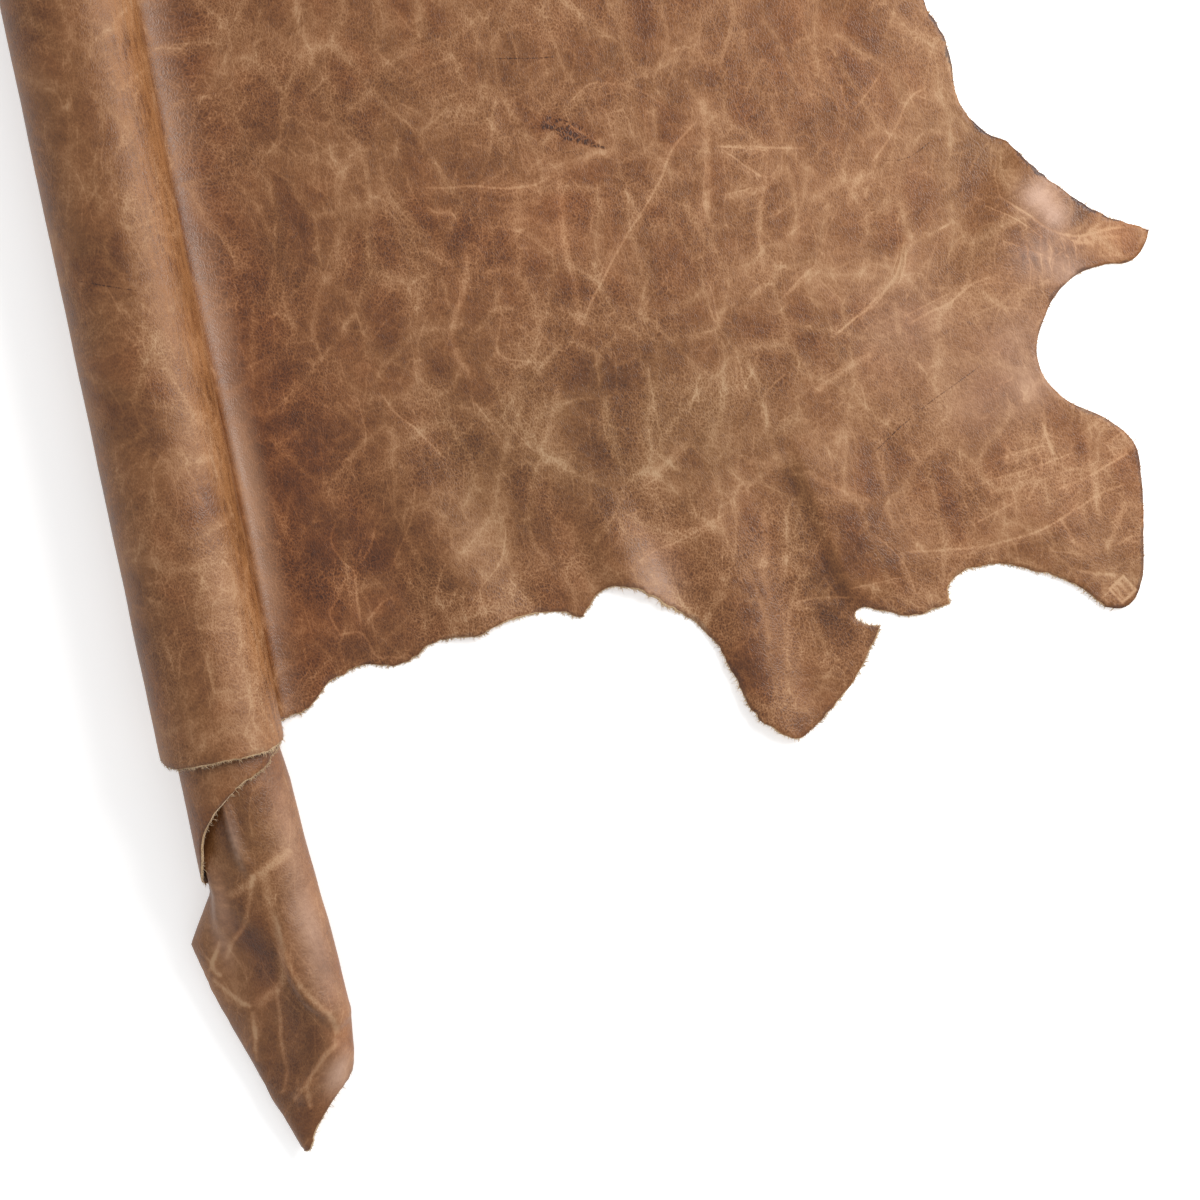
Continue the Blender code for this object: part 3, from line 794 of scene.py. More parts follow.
creaseMesh = dict(
    channels=6, seed=40, scratchSeed=7,
    spacing=1.7, fromEdge=2.0,  # of the mesh's points along the creases (mm)
    reach=5.0,  # how far a crease's own mark counts, in its widths
    leastReach=0.014,  # how far beside a line the other marks are kept (m)
    far=9.0,  # what a point beyond that reads
    fade=14.0, scratchFade=5.0,  # at both ends of a line (mm)
    vary=(0.82, 0.28, 0.030),  # how strength varies along a line: middle, amount, size (m)
    trough=3.2, bank=dict(at=8.0, width=4.0, height=0.35), halo=6.0,  # (mm, and a share of depth)
    clampReach=2.5,  # in half sizes of the print
    edgeReach=0.03,  # up to where the distance from the cut is kept (m)
)


def layCreases():
    # gives each crease its line, and a channel of its own among those that come near it
    laid = []
    for group in creaseGroups:
        for line in group["lines"]:
            points = roundedLine(line, creaseMesh["seed"] + 2 * len(laid))
            laid.append(dict(group, points=points))
    for i, crease in enumerate(laid):
        closeness = np.zeros(creaseMesh["channels"])
        for other in laid[:i]:
            gap = np.linalg.norm(crease["points"][:, None] - other["points"][None], axis=2).min() / mm
            reach = creaseMesh["reach"] * (crease["width"] + other["width"])
            closeness[other["channel"]] += max(1 - gap / reach, 0)
        crease["channel"] = int(np.argmin(closeness))
    for scratch in scratches:
        scratch["points"] = roundedLine(scratch["line"], creaseMesh["scratchSeed"])
    return laid


laidCreases = layCreases()
print(len(laidCreases), "creases are laid out")


# The sheet's own mesh
sheetMesh = dict(
    fineStep=0.0047,  # between points where the leather shows (m)
    coarseEvery=3,  # and this many times that in the hidden turns
    edgeStep=0.0024, hiddenEdgeStep=0.007,
    # where it shows: the outer turn and the shank up to so much wound leather, the shank's inside from
    # so much, and the shank from so far along
    shownTurn=0.34, shownShank=0.92, shownInside=0.30, shankAlong=-0.05,
    raggedSizes=((0.030, 0.9), (0.011, 0.8), (0.0055, 0.65)),  # wavelength (m) and height (mm)
    bevelVary=(0.6, 0.4, 0.005),  # how the bevel varies along the cut: middle, amount, size
    seed=11, bevelSeed=18, curveSteps=16,
    rowHeight=0.866, firstRow=0.37, clearance=0.5,  # of the grid of points, in steps
    mergeWithin=1e-7,
    cutMiddle=(0.45, 0.55), middleLift=0.1,  # the middle of the cut, between grain and flesh
    woundKept=(-0.2, 1.2),  # the length wound that the points carry (m)
)
# low swells of the grain side: wavelength (m), height (mm) and seed, and where they end in the roll
swells = dict(
    parts=((0.055, 0.34, 3), (0.024, 0.18, 4), (0.011, 0.08, 5)),
    woundFrom=0.28, woundFade=0.05, alongFrom=-0.07, alongFade=0.04,
)


def cutEdge():
    # the cut line as evenly spaced points, with the stretch that each belongs to
    points, marks = drawCutLine()
    perMark = len(points) // len(marks)
    closed = np.vstack([points, points[:1]])
    step = np.hypot(*np.diff(closed, axis=0).T)
    stretchOf = np.array([marks[i // perMark][3] for i in range(len(points))])
    hidden = np.isin([cutLine[s]["name"] for s in stretchOf], ("backbone", "butt", "flank"))
    weight = step / np.where(hidden, sheetMesh["hiddenEdgeStep"], sheetMesh["edgeStep"])
    travelled = np.concatenate([[0], np.cumsum(weight)])
    places = np.linspace(0, travelled[-1], int(travelled[-1]), endpoint=False)
    for i, mark in enumerate(marks):
        if mark[2]:
            places[np.argmin(abs(places - travelled[i * perMark]))] = travelled[i * perMark]
    edge = np.stack([np.interp(places, travelled, closed[:, k]) for k in (0, 1)], 1)
    spot = np.searchsorted(travelled, places, side="right") - 1
    return edge, stretchOf[np.clip(spot, 0, len(points) - 1)]


def loopNormals(edge):
    # outward, for a loop that runs anticlockwise
    along = np.roll(edge, -1, 0) - np.roll(edge, 1, 0)
    along /= np.linalg.norm(along, axis=1)[:, None]
    return np.stack([along[:, 1], -along[:, 0]], 1)


def roughenEdge(edge, owner):
    travelled = np.concatenate([[0], np.cumsum(np.hypot(*np.diff(edge, axis=0).T))])
    ragged = np.array([stretch["ragged"] for stretch in cutLine])[owner]
    offset = np.zeros(len(edge))
    for i, (size, height) in enumerate(sheetMesh["raggedSizes"]):
        offset += softNoise(travelled, travelled * 0, size, sheetMesh["seed"] + i) * height * mm
    flesh = edge + loopNormals(edge) * (offset * ragged)[:, None]
    bevel = np.array([stretch["bevel"] for stretch in cutLine])[owner] * mm
    level, amount, size = sheetMesh["bevelVary"]
    share = level + amount * softNoise(travelled, travelled * 0, size, sheetMesh["bevelSeed"])
    grain = flesh - loopNormals(edge) * (bevel * share)[:, None]
    return grain, flesh


def pointTree(points):
    tree = kdtree.KDTree(len(points))
    for i, point in enumerate(points):
        tree.insert((*point[:2], 0), i)
    tree.balance()
    return tree


def insideLoop(edge, points):
    after = np.roll(edge, -1, 0)
    inside = np.zeros(len(points), bool)
    for a, b in zip(edge, after):
        spans = (a[1] > points[:, 1]) != (b[1] > points[:, 1])
        if spans.any():
            crossing = a[0] + (b[0] - a[0]) * (points[spans, 1] - a[1]) / (b[1] - a[1])
            inside[np.flatnonzero(spans)[points[spans, 0] < crossing]] ^= True
    return inside


def creasePoints(edge):
    # points along the creases, so that the mesh follows them
    lines = [crease["points"] for crease in laidCreases] + [roundedLine(fold["line"]) for fold in folds]
    every = np.vstack(lines)
    every = every[insideLoop(edge, every)]
    tree = pointTree(edge)
    kept = []
    taken = {}
    cell = creaseMesh["spacing"] * mm
    for x, y in every:
        key = (int(x // cell), int(y // cell))
        beside = [taken.get((key[0] + i, key[1] + j)) for i in (-1, 0, 1) for j in (-1, 0, 1)]
        crowded = any(p and math.hypot(p[0] - x, p[1] - y) < cell for p in beside)
        if not crowded and tree.find((x, y, 0))[2] > creaseMesh["fromEdge"] * mm:
            taken[key] = (x, y)
            kept.append((x, y))
    return kept


def fillCut(edge, fine, extra=()):
    # triangles inside the loop, on an even grid of points that is coarser where nothing shows
    h, rowHeight = sheetMesh["fineStep"], sheetMesh["rowHeight"]
    clear = sheetMesh["clearance"] * h
    low, high = edge.min(0), edge.max(0)
    tree = pointTree([*edge, *extra])
    after = np.roll(edge, -1, 0)
    inner = list(extra)
    for j in range(int((high[1] - low[1]) / (h * rowHeight)) + 1):
        y = low[1] + (j + sheetMesh["firstRow"]) * h * rowHeight
        spans = (edge[:, 1] > y) != (after[:, 1] > y)
        a, b = edge[spans], after[spans]
        crossings = np.sort(a[:, 0] + (b[:, 0] - a[:, 0]) * (y - a[:, 1]) / (b[:, 1] - a[:, 1]))
        i = np.arange(int((high[0] - low[0]) / h) + 2)
        x = low[0] + (i + (j % 2) / 2) * h
        every = sheetMesh["coarseEvery"]
        onCoarse = (j % every == 0) & (i % every == (1 if j % 2 else 0))
        keep = (np.searchsorted(crossings, x) % 2 == 1) & (onCoarse | fine(x, np.full(len(x), y)))
        inner += [(px, y) for px in x[keep] if tree.find((px, y, 0))[2] > clear]
    points = [Vector(p) for p in edge] + [Vector(p) for p in inner]
    ring = [(i, (i + 1) % len(edge)) for i in range(len(edge))]
    filled = delaunay_2d_cdt(points, ring, [], 1, sheetMesh["mergeWithin"])
    if len(filled[0]) != len(points):
        raise ValueError(f"the cut line crosses itself: {len(points)} points became {len(filled[0])}")
    return np.array([tuple(p) for p in filled[0]]), filled[2]


def fineGrain(across, along):
    wound = footAt(along) - across
    shank = (along < sheetMesh["shankAlong"]) & (wound < sheetMesh["shownShank"])
    return (wound < sheetMesh["shownTurn"]) | shank


def fineFlesh(across, along):
    wound = footAt(along) - across
    return (along < sheetMesh["shankAlong"]) & (wound > sheetMesh["shownInside"])


def grainRelief(across, along):
    wound = footAt(along) - across
    relief = sum(softNoise(across, along, size, seed) * height for size, height, seed in swells["parts"])
    shown = 1 - smooth((wound - swells["woundFrom"]) / swells["woundFade"])
    return relief * np.maximum(shown, smooth((swells["alongFrom"] - along) / swells["alongFade"])) * mm


def addPlaces(here, places, key):
    # a soft spot around each place, added up
    added = np.zeros(len(here))
    for place in places:
        away = ((here - np.array(place["at"]) * mm) / (np.array(place["reach"]) * mm)) ** 2
        added += place[key] * np.exp(-away.sum(1))
    return added


def markCreases(here):
    # for each channel how far the nearest crease is and how strong; their halos, and their relief
    count, channels = len(here), creaseMesh["channels"]
    across, strength = np.full((count, channels), creaseMesh["far"]), np.zeros((count, channels))
    halo, best, relief = np.zeros(count), np.full((count, channels), 1.0), np.zeros(count)
    level, amount, size = creaseMesh["vary"]
    bank = creaseMesh["bank"]
    for number, crease in enumerate(laidCreases):
        reach = creaseMesh["reach"] * crease["width"] * mm
        points = crease["points"]
        near, distance, spot, length = measureLine(points, here, max(reach, creaseMesh["leastReach"]))
        fade = crease.get("fade", creaseMesh["fade"]) * mm
        ends = smooth(spot / fade) * smooth((length - spot) / fade)
        vary = level + amount * softNoise(spot, spot * 0 + number, size, creaseMesh["seed"] + number)
        trough = np.exp(-((distance / mm / creaseMesh["trough"]) ** 2))
        banks = np.exp(-(((abs(distance) / mm - bank["at"]) / bank["width"]) ** 2))
        relief[near] -= crease["depth"] * mm * (trough - bank["height"] * banks) * ends
        worn = np.exp(-((distance / mm / creaseMesh["halo"]) ** 2))
        worn = crease["wearAndShade"] * crease["halo"] * ends * vary * worn
        halo[near] = np.maximum(halo[near], worn)
        channel = crease["channel"]
        closer = (abs(distance) < best[near, channel]) & (abs(distance) < reach)
        near, distance = near[closer], distance[closer]
        best[near, channel] = abs(distance)
        across[near, channel] = distance / (crease["width"] * mm)
        strength[near, channel] = (crease["wearAndShade"] * ends * vary)[closer]
    return across, strength, halo, relief


def markScratches(here):
    scratch = np.full((len(here), 3), (creaseMesh["far"], 0.0, 0.0))
    for mark in scratches:
        near, distance, spot, length = measureLine(mark["points"], here, creaseMesh["leastReach"])
        fade = creaseMesh["scratchFade"] * mm
        ends = smooth(spot / fade) * smooth((length - spot) / fade)
        better = abs(distance) / (mark["width"] * mm) < abs(scratch[near, 0])
        near = near[better]
        scratch[near, 0] = distance[better] / (mark["width"] * mm)
        scratch[near, 1] = (mark["dark"] * ends)[better]
    return scratch


def markClamps(here):
    # the place within each print, from -1 to 1 both ways, and how deep it is
    far = creaseMesh["far"]
    clamp = np.full((len(here), 3), (far, far, 0.0))
    for x, y, turn, depth in clampPrints["places"]:
        gap = (here / mm - (x, y)) / clampPrints["halfSize"]
        cos, sin = math.cos(math.radians(turn)), math.sin(math.radians(turn))
        own = np.hypot(*gap.T) < creaseMesh["clampReach"]
        clamp[own, 0] = (gap[:, 0] * cos + gap[:, 1] * sin)[own]
        clamp[own, 1] = (gap[:, 1] * cos - gap[:, 0] * sin)[own]
        clamp[own, 2] = depth
    return clamp


def markGrain(here, edge, owner):
    # what the grain's points carry, by name, and the relief of the creases
    across, strength, halo, relief = markCreases(here)
    tree = pointTree(edge)
    found = [tree.find((*point, 0)) for point in here]
    stain = np.array([stretch["stain"] for stretch in cutLine])[owner[[f[1] for f in found]]]
    fromEdge = np.minimum([f[2] for f in found], creaseMesh["edgeReach"]) / mm
    return dict(
        creaseOne=across[:, :3], creaseTwo=across[:, 3:],
        strengthOne=strength[:, :3], strengthTwo=strength[:, 3:], halo=halo,
        scratch=markScratches(here), clamp=markClamps(here),
        tone=addPlaces(here, tones, "tone"), warm=addPlaces(here, tones, "warm"),
        haze=addPlaces(here, paintedSheens, "strength"), gathered=addPlaces(here, wrinkled, "strength"),
        fromEdge=fromEdge, stain=stain,
    ), relief


def addAttribute(mesh, name, values):
    # written on the first points of the mesh, the grain side's; the others keep 0
    kind, key = ("FLOAT_VECTOR", "vector") if values.ndim == 2 else ("FLOAT", "value")
    attribute = mesh.attributes.new(name, kind, "POINT")
    full = np.zeros((len(mesh.vertices), *values.shape[1:]), np.float32)
    full[: len(values)] = values
    attribute.data.foreach_set(key, full.ravel())


def makeSheet():
    edge, owner = cutEdge()
    grainEdge, fleshEdge = roughenEdge(edge, owner)
    count = len(edge)
    grain, grainFaces = fillCut(grainEdge, fineGrain, creasePoints(grainEdge))
    flesh, fleshFaces = fillCut(fleshEdge, fineFlesh)
    marks, creaseRelief = markGrain(grain, grainEdge, owner)
    half = winding["thickness"] / 2
    middle = grainEdge * sheetMesh["cutMiddle"][0] + fleshEdge * sheetMesh["cutMiddle"][1]
    flat = np.concatenate([grain, middle, flesh])
    lift = half + grainRelief(grain[:, 0], grain[:, 1]) + creaseRelief
    places = np.concatenate([
        placeLeather(grain[:, 0], grain[:, 1], lift),
        placeLeather(middle[:, 0], middle[:, 1], np.full(count, half * sheetMesh["middleLift"])),
        placeLeather(flesh[:, 0], flesh[:, 1], np.full(len(flesh), -half)),
    ])
    midStart, fleshStart = len(grain), len(grain) + count
    faces = [tuple(face) for face in grainFaces]
    slots = [0] * len(faces)
    for i in range(count):
        j = (i + 1) % count
        faces.append((j, i, midStart + i, midStart + j))
        faces.append((midStart + j, midStart + i, fleshStart + i, fleshStart + j))
    slots += [2] * (2 * count)
    faces += [tuple(fleshStart + k for k in reversed(face)) for face in fleshFaces]
    slots += [1] * len(fleshFaces)
    mesh = bpy.data.meshes.new("sheet")
    mesh.from_pydata(places.tolist(), [], faces)
    mesh.polygons.foreach_set("material_index", slots)
    uv = mesh.uv_layers.new(name="flat cut")
    corners = np.empty(len(mesh.loops), int)
    mesh.loops.foreach_get("vertex_index", corners)
    uv.uv.foreach_set("vector", flat[corners].ravel())
    mesh.shade_smooth()
    for name, values in marks.items():
        addAttribute(mesh, name, np.asarray(values))
    addAttribute(mesh, "wound", np.clip(footAt(flat[:, 1]) - flat[:, 0], *sheetMesh["woundKept"]))
    sheet = bpy.data.objects.new("sheet", mesh)
    bpy.context.scene.collection.objects.link(sheet)
    print("sheet:", len(grain), "grain points,", sum(len(f) - 2 for f in faces), "triangles")
    return sheet, middle, owner


sheet, cutMiddle, cutOwner = makeSheet()

# Loose fibres along the cut, in tufts
fibres = dict(
    perMetre=3200, seed=5, sides=3,
    shortest=1.2, longest=7.5, root=0.36, sunk=0.4,  # (mm)
    shortness=2.2,  # the higher, the fewer long ones
    tuftSize=0.006, tuftLength=(0.45, 0.8),  # (m), the least length within a tuft and what it adds
    spread=0.75, rise=(-0.05, 0.28), curl=0.45, sag=0.25, curled=0.5,
    depth=(-0.9, 0.7), knee=0.55, kneeRoot=0.6,
)


def growFibres():
    random = np.random.default_rng(fibres["seed"])
    flat = cutMiddle
    places = placeLeather(flat[:, 0], flat[:, 1], np.zeros(len(flat)))
    normals = facing(flat[:, 0], flat[:, 1])
    run = np.roll(places, -1, 0) - places
    length = np.linalg.norm(run, axis=1)
    fuzz = np.array([stretch["fuzz"] for stretch in cutLine])[cutOwner]
    chosen, spots = [], []
    for i, (share, size) in enumerate(zip(fuzz, length)):
        amount = random.poisson(share * size * fibres["perMetre"])
        chosen += [i] * amount
        spots += list(random.uniform(0, 1, amount))
    chosen, spots = np.array(chosen), np.array(spots)[:, None]
    count = len(chosen)
    tangent = run[chosen] / length[chosen][:, None]
    normal = normals[chosen]
    outward = np.cross(tangent, normal)
    travelled = np.cumsum(length)[chosen]
    tuft = 0.5 + 0.5 * softNoise(travelled, travelled * 0, fibres["tuftSize"], fibres["seed"])
    share = random.uniform(0, 1, count) ** fibres["shortness"]
    size = fibres["shortest"] + (fibres["longest"] - fibres["shortest"]) * share
    least, added = fibres["tuftLength"]
    size = (size * (least + added * tuft) * mm)[:, None]
    lean = (random.normal(0, fibres["spread"], count) + (tuft - 0.5))[:, None]
    rise = random.normal(*fibres["rise"], count)[:, None]
    direction = outward * np.cos(lean) + tangent * np.sin(lean) + normal * rise
    curl = tangent * random.normal(0, fibres["curl"], count)[:, None] - np.array([0, 0, fibres["sag"]])
    depth = random.uniform(*fibres["depth"], count)[:, None] * winding["thickness"] / 2
    root = places[chosen] + run[chosen] * spots + normal * depth - outward * fibres["sunk"] * mm
    knee = root + direction * size * fibres["knee"]
    tip = root + direction * size + curl * size * fibres["curled"]
    side = np.cross(direction, normal)
    side /= np.linalg.norm(side, axis=1)[:, None]
    other = np.cross(side, direction)
    other /= np.linalg.norm(other, axis=1)[:, None]
    points = []
    for stop, radius in ((root, fibres["root"]), (knee, fibres["root"] * fibres["kneeRoot"])):
        for k in range(fibres["sides"]):
            angle = 2 * math.pi * k / fibres["sides"]
            points.append(stop + (side * math.cos(angle) + other * math.sin(angle)) * radius * mm)
    points.append(tip)
    points = np.stack(points, 1).reshape(-1, 3)
    points[:, 2] = np.maximum(points[:, 2], 0)
    n = fibres["sides"]
    pattern = [(0, 2, 1)]
    for k in range(n):
        j = (k + 1) % n
        pattern += [(k, j, n + j), (k, n + j, n + k), (n + k, n + j, 2 * n)]
    faces = (np.array(pattern)[None] + (np.arange(count) * (2 * n + 1))[:, None, None]).reshape(-1, 3)
    mesh = bpy.data.meshes.new("edge_fibres")
    mesh.from_pydata(points.tolist(), [], faces.tolist())
    mesh.shade_smooth()
    piece = bpy.data.objects.new("edge_fibres", mesh)
    bpy.context.scene.collection.objects.link(piece)
    print("edge fibres:", count, "fibres,", len(faces), "triangles")
    return piece


edgeFibres = growFibres()


def addNode(tree, kind, inputs=None, **settings):
    node = tree.nodes.new("ShaderNode" + kind)
    for name, value in settings.items():
        setattr(node, name, value)
    for name, value in (inputs or {}).items():
        if isinstance(value, bpy.types.NodeSocket):
            tree.links.new(value, node.inputs[name])
        else:
            node.inputs[name].default_value = value
    return node


def compute(tree, operation, a, b=0.0, c=0.0):
    return addNode(tree, "Math", {0: a, 1: b, 2: c}, operation=operation).outputs[0]


def rescale(tree, value, low, high, toLow=0.0, toHigh=1.0):
    # eases from one level to the other while the value runs from low to high
    inputs = {"Value": value, "From Min": low, "From Max": high, "To Min": toLow, "To Max": toHigh}
    return addNode(tree, "MapRange", inputs, interpolation_type="SMOOTHSTEP").outputs["Result"]


def patches(tree, place, size, detail=1.0, roughness=0.5, twist=0.0, output="Fac"):
    # soft noise with patches of this many millimetres
    inputs = {"Vector": place, "Scale": 1000 / size, "Detail": detail, "Roughness": roughness}
    inputs["Distortion"] = twist
    return addNode(tree, "TexNoise", inputs, noise_dimensions="2D").outputs[output]


def turned(tree, place, by=(0, 0, 0), stretch=(1, 1, 1), turn=0.0):
    inputs = {"Vector": place, "Location": by, "Scale": stretch, "Rotation": (0, 0, turn)}
    return addNode(tree, "Mapping", inputs).outputs["Vector"]


def warped(tree, place, size, amount):
    # the place, pushed about by noise of this size, by up to about half this many millimetres
    colour = patches(tree, place, size, 1.0, output="Color")
    centred = addNode(tree, "VectorMath", {0: colour, 1: (0.5, 0.5, 0.5)}, operation="SUBTRACT").outputs[0]
    inputs = {0: centred, 1: (amount * mm, amount * mm, 0), 2: place}
    return addNode(tree, "VectorMath", inputs, operation="MULTIPLY_ADD").outputs[0]


def cells(tree, place, size):
    # how far each place is from the edge of its cell, counted in cells
    inputs = {"Vector": place, "Scale": 1000 / size}
    node = addNode(tree, "TexVoronoi", inputs, feature="DISTANCE_TO_EDGE", voronoi_dimensions="2D")
    return node.outputs["Distance"]


def edges(tree, distance, size, width):
    # soft lines of this half width on the edges of cells of this size
    return rescale(tree, distance, 0.0, width / size, 1.0, 0.0)


def strokes(tree, place, size, width, detail=2.0, roughness=0.6, twist=0.8):
    # thin wandering lines, where a noise passes its middle level
    level = patches(tree, place, size, detail, roughness, twist)
    away = compute(tree, "ABSOLUTE", compute(tree, "SUBTRACT", level, 0.5))
    return rescale(tree, away, 0.0, width, 1.0, 0.0)


def weighed(tree, *terms, start=0.5):
    # adds value * strength for each term
    value = start
    for socket, strength in terms:
        value = compute(tree, "MULTIPLY_ADD", socket, strength, value)
    return value


def times(tree, *values):
    product = values[0]
    for value in values[1:]:
        product = compute(tree, "MULTIPLY", product, value)
    return product


def centred(tree, value, middle=0.5):
    return compute(tree, "SUBTRACT", value, middle)


def marked(tree, name, output="Fac"):
    return addNode(tree, "Attribute", attribute_name=name).outputs[output]


def split(tree, value, kind="XYZ"):
    return addNode(tree, "Separate" + kind, {0: value}).outputs


def newMaterial(name):
    material = bpy.data.materials.new(name)
    material.use_nodes = True
    return material, material.node_tree, material.node_tree.nodes["Principled BSDF"]


def fillRamp(tree, value, colours):
    ramp = addNode(tree, "ValToRGB", {"Fac": value})
    stops = ramp.color_ramp.elements
    for i, (spot, colour) in enumerate(colours):
        stop = stops[i] if i < 2 else stops.new(spot)
        stop.position, stop.color = spot, (*colour, 1)
    return ramp.outputs["Color"]


def mixColours(tree, factor, a, b, blend="MIX"):
    node = tree.nodes.new("ShaderNodeMix")
    node.data_type = "RGBA"
    node.blend_type = blend
    for spot, value in ((0, factor), (6, a), (7, b)):
        if isinstance(value, bpy.types.NodeSocket):
            tree.links.new(value, node.inputs[spot])
        else:
            node.inputs[spot].default_value = value
    return node.outputs[2]


grainLook = dict(
    # from waxed brown to the worn tan of the parted finish
    colours=(
        (0.00, (0.040, 0.011, 0.002)),
        (0.25, (0.102, 0.033, 0.007)),
        (0.50, (0.190, 0.073, 0.021)),
        (0.70, (0.282, 0.129, 0.053)),
        (0.85, (0.352, 0.182, 0.087)),
        (1.00, (0.412, 0.231, 0.119)),
    ),
    # olive, as it is, and reddish
    tints=((0.0, (0.96, 1.06, 1.12)), (0.5, (1.0, 1.0, 1.0)), (1.0, (1.06, 0.92, 0.80))),
    # the orange of pull-up, the painted sheen at the roll's foot, the painted pinkish sheen, and the dark
    # stain at the cut
    pullUp=(0.36, 0.155, 0.052), footSheenColour=(0.40, 0.222, 0.128),
    paintedSheenColour=(0.50, 0.325, 0.24), stained=(0.034, 0.020, 0.022),
    specular=0.40, bumpDepth=0.0010, bumpStrength=0.35,
    # how places are pushed about before a noise or a net is laid on them: size and amount (mm)
    sway=(160, 46), bend=(40, 10), ruffle=(12, 7),
    # the noises: size (mm), and in some detail and roughness; the hairs' size and width
    zones=90, gates=34, partings=7, mottle=(62, 5.0, 0.86), speckle=(2.4, 1.0, 0.8),
    streaks=(50, 3.0, 0.65), streakStretch=(9, 1.2, 1), hairs=(15, 0.05), hairShift=(0.5, 0.5, 0),
    crackleMiddle=0.42, pebbleMiddle=0.35,
    # at which levels a thing sets in and is complete, and in some from and to what it runs there
    worn=(0.36, 0.60), crackled=(0.40, 0.60), netShown=(0.36, 0.56), wrinkleShown=(0.34, 0.56),
    streaked=(0.36, 0.62), betweenWrinkles=(0.10, 0.34), creaseCore=(0.1, 1.5, 1.0, 0.0),
    scratch=(0.2, 1.2, 1.0, 0.0), scratchGaps=(0.0, 0.9, 1.1, 0.35), paintedSheenShare=(0.3, 0.6, 0.75, 1.1),
    soakedOver=(-1.5, 1.5, 1.0, 0.0), roughness=(0.30, 0.75, 0.38, 0.56),
    # shares
    wornIsParted=-0.7, wornHairs=(0.7, 0.3), crackledGrain=(0.55, 0.60), pulledUp=0.45, stainedBy=0.8,
)
# the nets of parted finish: the size of their cells, the half width of the worn band and of its core
# (mm), how pale the two are, how the net is shifted, stretched and turned, and where in a cell the
# finish is whole
wornNets = named("size band core bandTone coreTone shift stretch turn whole", [
    (96, 7.5, 2.0, 0.12, 0.05, (0.3, 0.1, 0), (1.0, 0.60, 1), 0.45, (0.03, 0.24)),
    (54, 5.0, 1.5, 0.10, 0.05, (0.7, 0.3, 0), (1.0, 0.66, 1), -0.75, (0.02, 0.22)),
    (25, 3.0, 1.2, 0.05, 0.05, (0.2, 0.9, 0), (1.0, 1.00, 1), 0.0, None),
])
# long thin lines, and the gate that lets them show
longNets = named("size band shift stretch turn gate shown", [
    (30, 1.3, (0.1, 0.2, 0), (1.0, 0.34, 1), 0.75, 1, (0.46, 0.58)),
    (30, 1.3, (0.6, 0.8, 0), (1.0, 0.30, 1), -0.35, 0, (0.54, 0.42)),
])
crackleNet = dict(size=2.9, band=1.0, shift=(0.4, 0.6, 0), stretch=(1.25, 0.8, 1), turn=0.3)
pebbleNet = dict(size=5.4, band=1.3, shift=(0.8, 0.1, 0), stretch=(1.2, 0.75, 1), turn=-0.5)
wrinkleNet = dict(size=12, band=1.0, shift=(0.9, 0.4, 0), stretch=(1.0, 0.20, 1), turn=0.12)
# where the roll's parts set in and are complete, by the length wound (m)
rollParts = dict(
    roll=(0.112, 0.150), shank=(0.50, 0.60), crown=(0.070, 0.095), crownEnd=(0.108, 0.143),
    wall=(0.022, 0.050), wallEnd=(0.078, 0.104), foot=(-0.024, -0.004), footEnd=(0.000, 0.018),
    higher=(0.10, 0.45, 0.0, 0.022),  # towards the far end the wall's bend reaches this much higher
    footFades=(0.46, 0.22, 0.44, 1.0), footStarts=(-0.02, 0.14, 0.35, 1.0),  # along the roll
    footWorn=(0.30, 0.60, 0.36, 0.60),  # and by the worn zones
    head=(0.10, 0.35), belly=(0.20, 0.00),  # across the open half, and along it
)
# how much each part counts in a sum, on top of its start
weights = dict(
    grain=dict(start=0.0, crackle=0.34, pebbles=0.16, speckle=0.55),
    calm=dict(start=1.0, onRoll=-0.25, onShank=-0.40, atHead=-0.32, atBelly=0.28, haze=-0.8),
    veined=dict(start=1.0, onRoll=-0.35, onShank=-0.45),
    # in the tone, crownHighlight paints the roll's crown paler: a painted highlight
    tone=dict(
        start=0.46, tone=1.0, halo=0.70, creases=0.56, wrinkles=0.46, between=-0.14, veins=1.0,
        whole=-0.13, mottle=0.85, zone=0.30, hairs=0.07, longLines=0.12, grain=0.50, scratched=-1.0,
        pressed=0.44, onRoll=-0.03, crownHighlight=0.16, onShank=0.03,
    ),
    warmth=dict(start=0.45, warm=0.5, gate=0.3, parted=-0.6, unparted=0.25),
    soaked=dict(start=1.8, gates=16.0, hairs=2.0),  # how far in the stain reaches (mm)
    height=dict(start=0.5, crackle=-0.40, pebbles=-0.30, creases=-0.9, pressed=-0.5, wrinkles=-0.4),
    relief=dict(start=1.0, haze=-0.9, gathered=-0.4, footSheen=-0.9),
)


def addUp(tree, kind, parts):
    # the sum of the parts, each with its weight
    terms = [(parts[name], weight) for name, weight in weights[kind].items() if name != "start"]
    return weighed(tree, *terms, start=weights[kind]["start"])


def netCells(tree, place, net):
    return cells(tree, turned(tree, place, net["shift"], net["stretch"], net["turn"]), net["size"])


def netLines(tree, place, net):
    return edges(tree, netCells(tree, place, net), net["size"], net["band"])


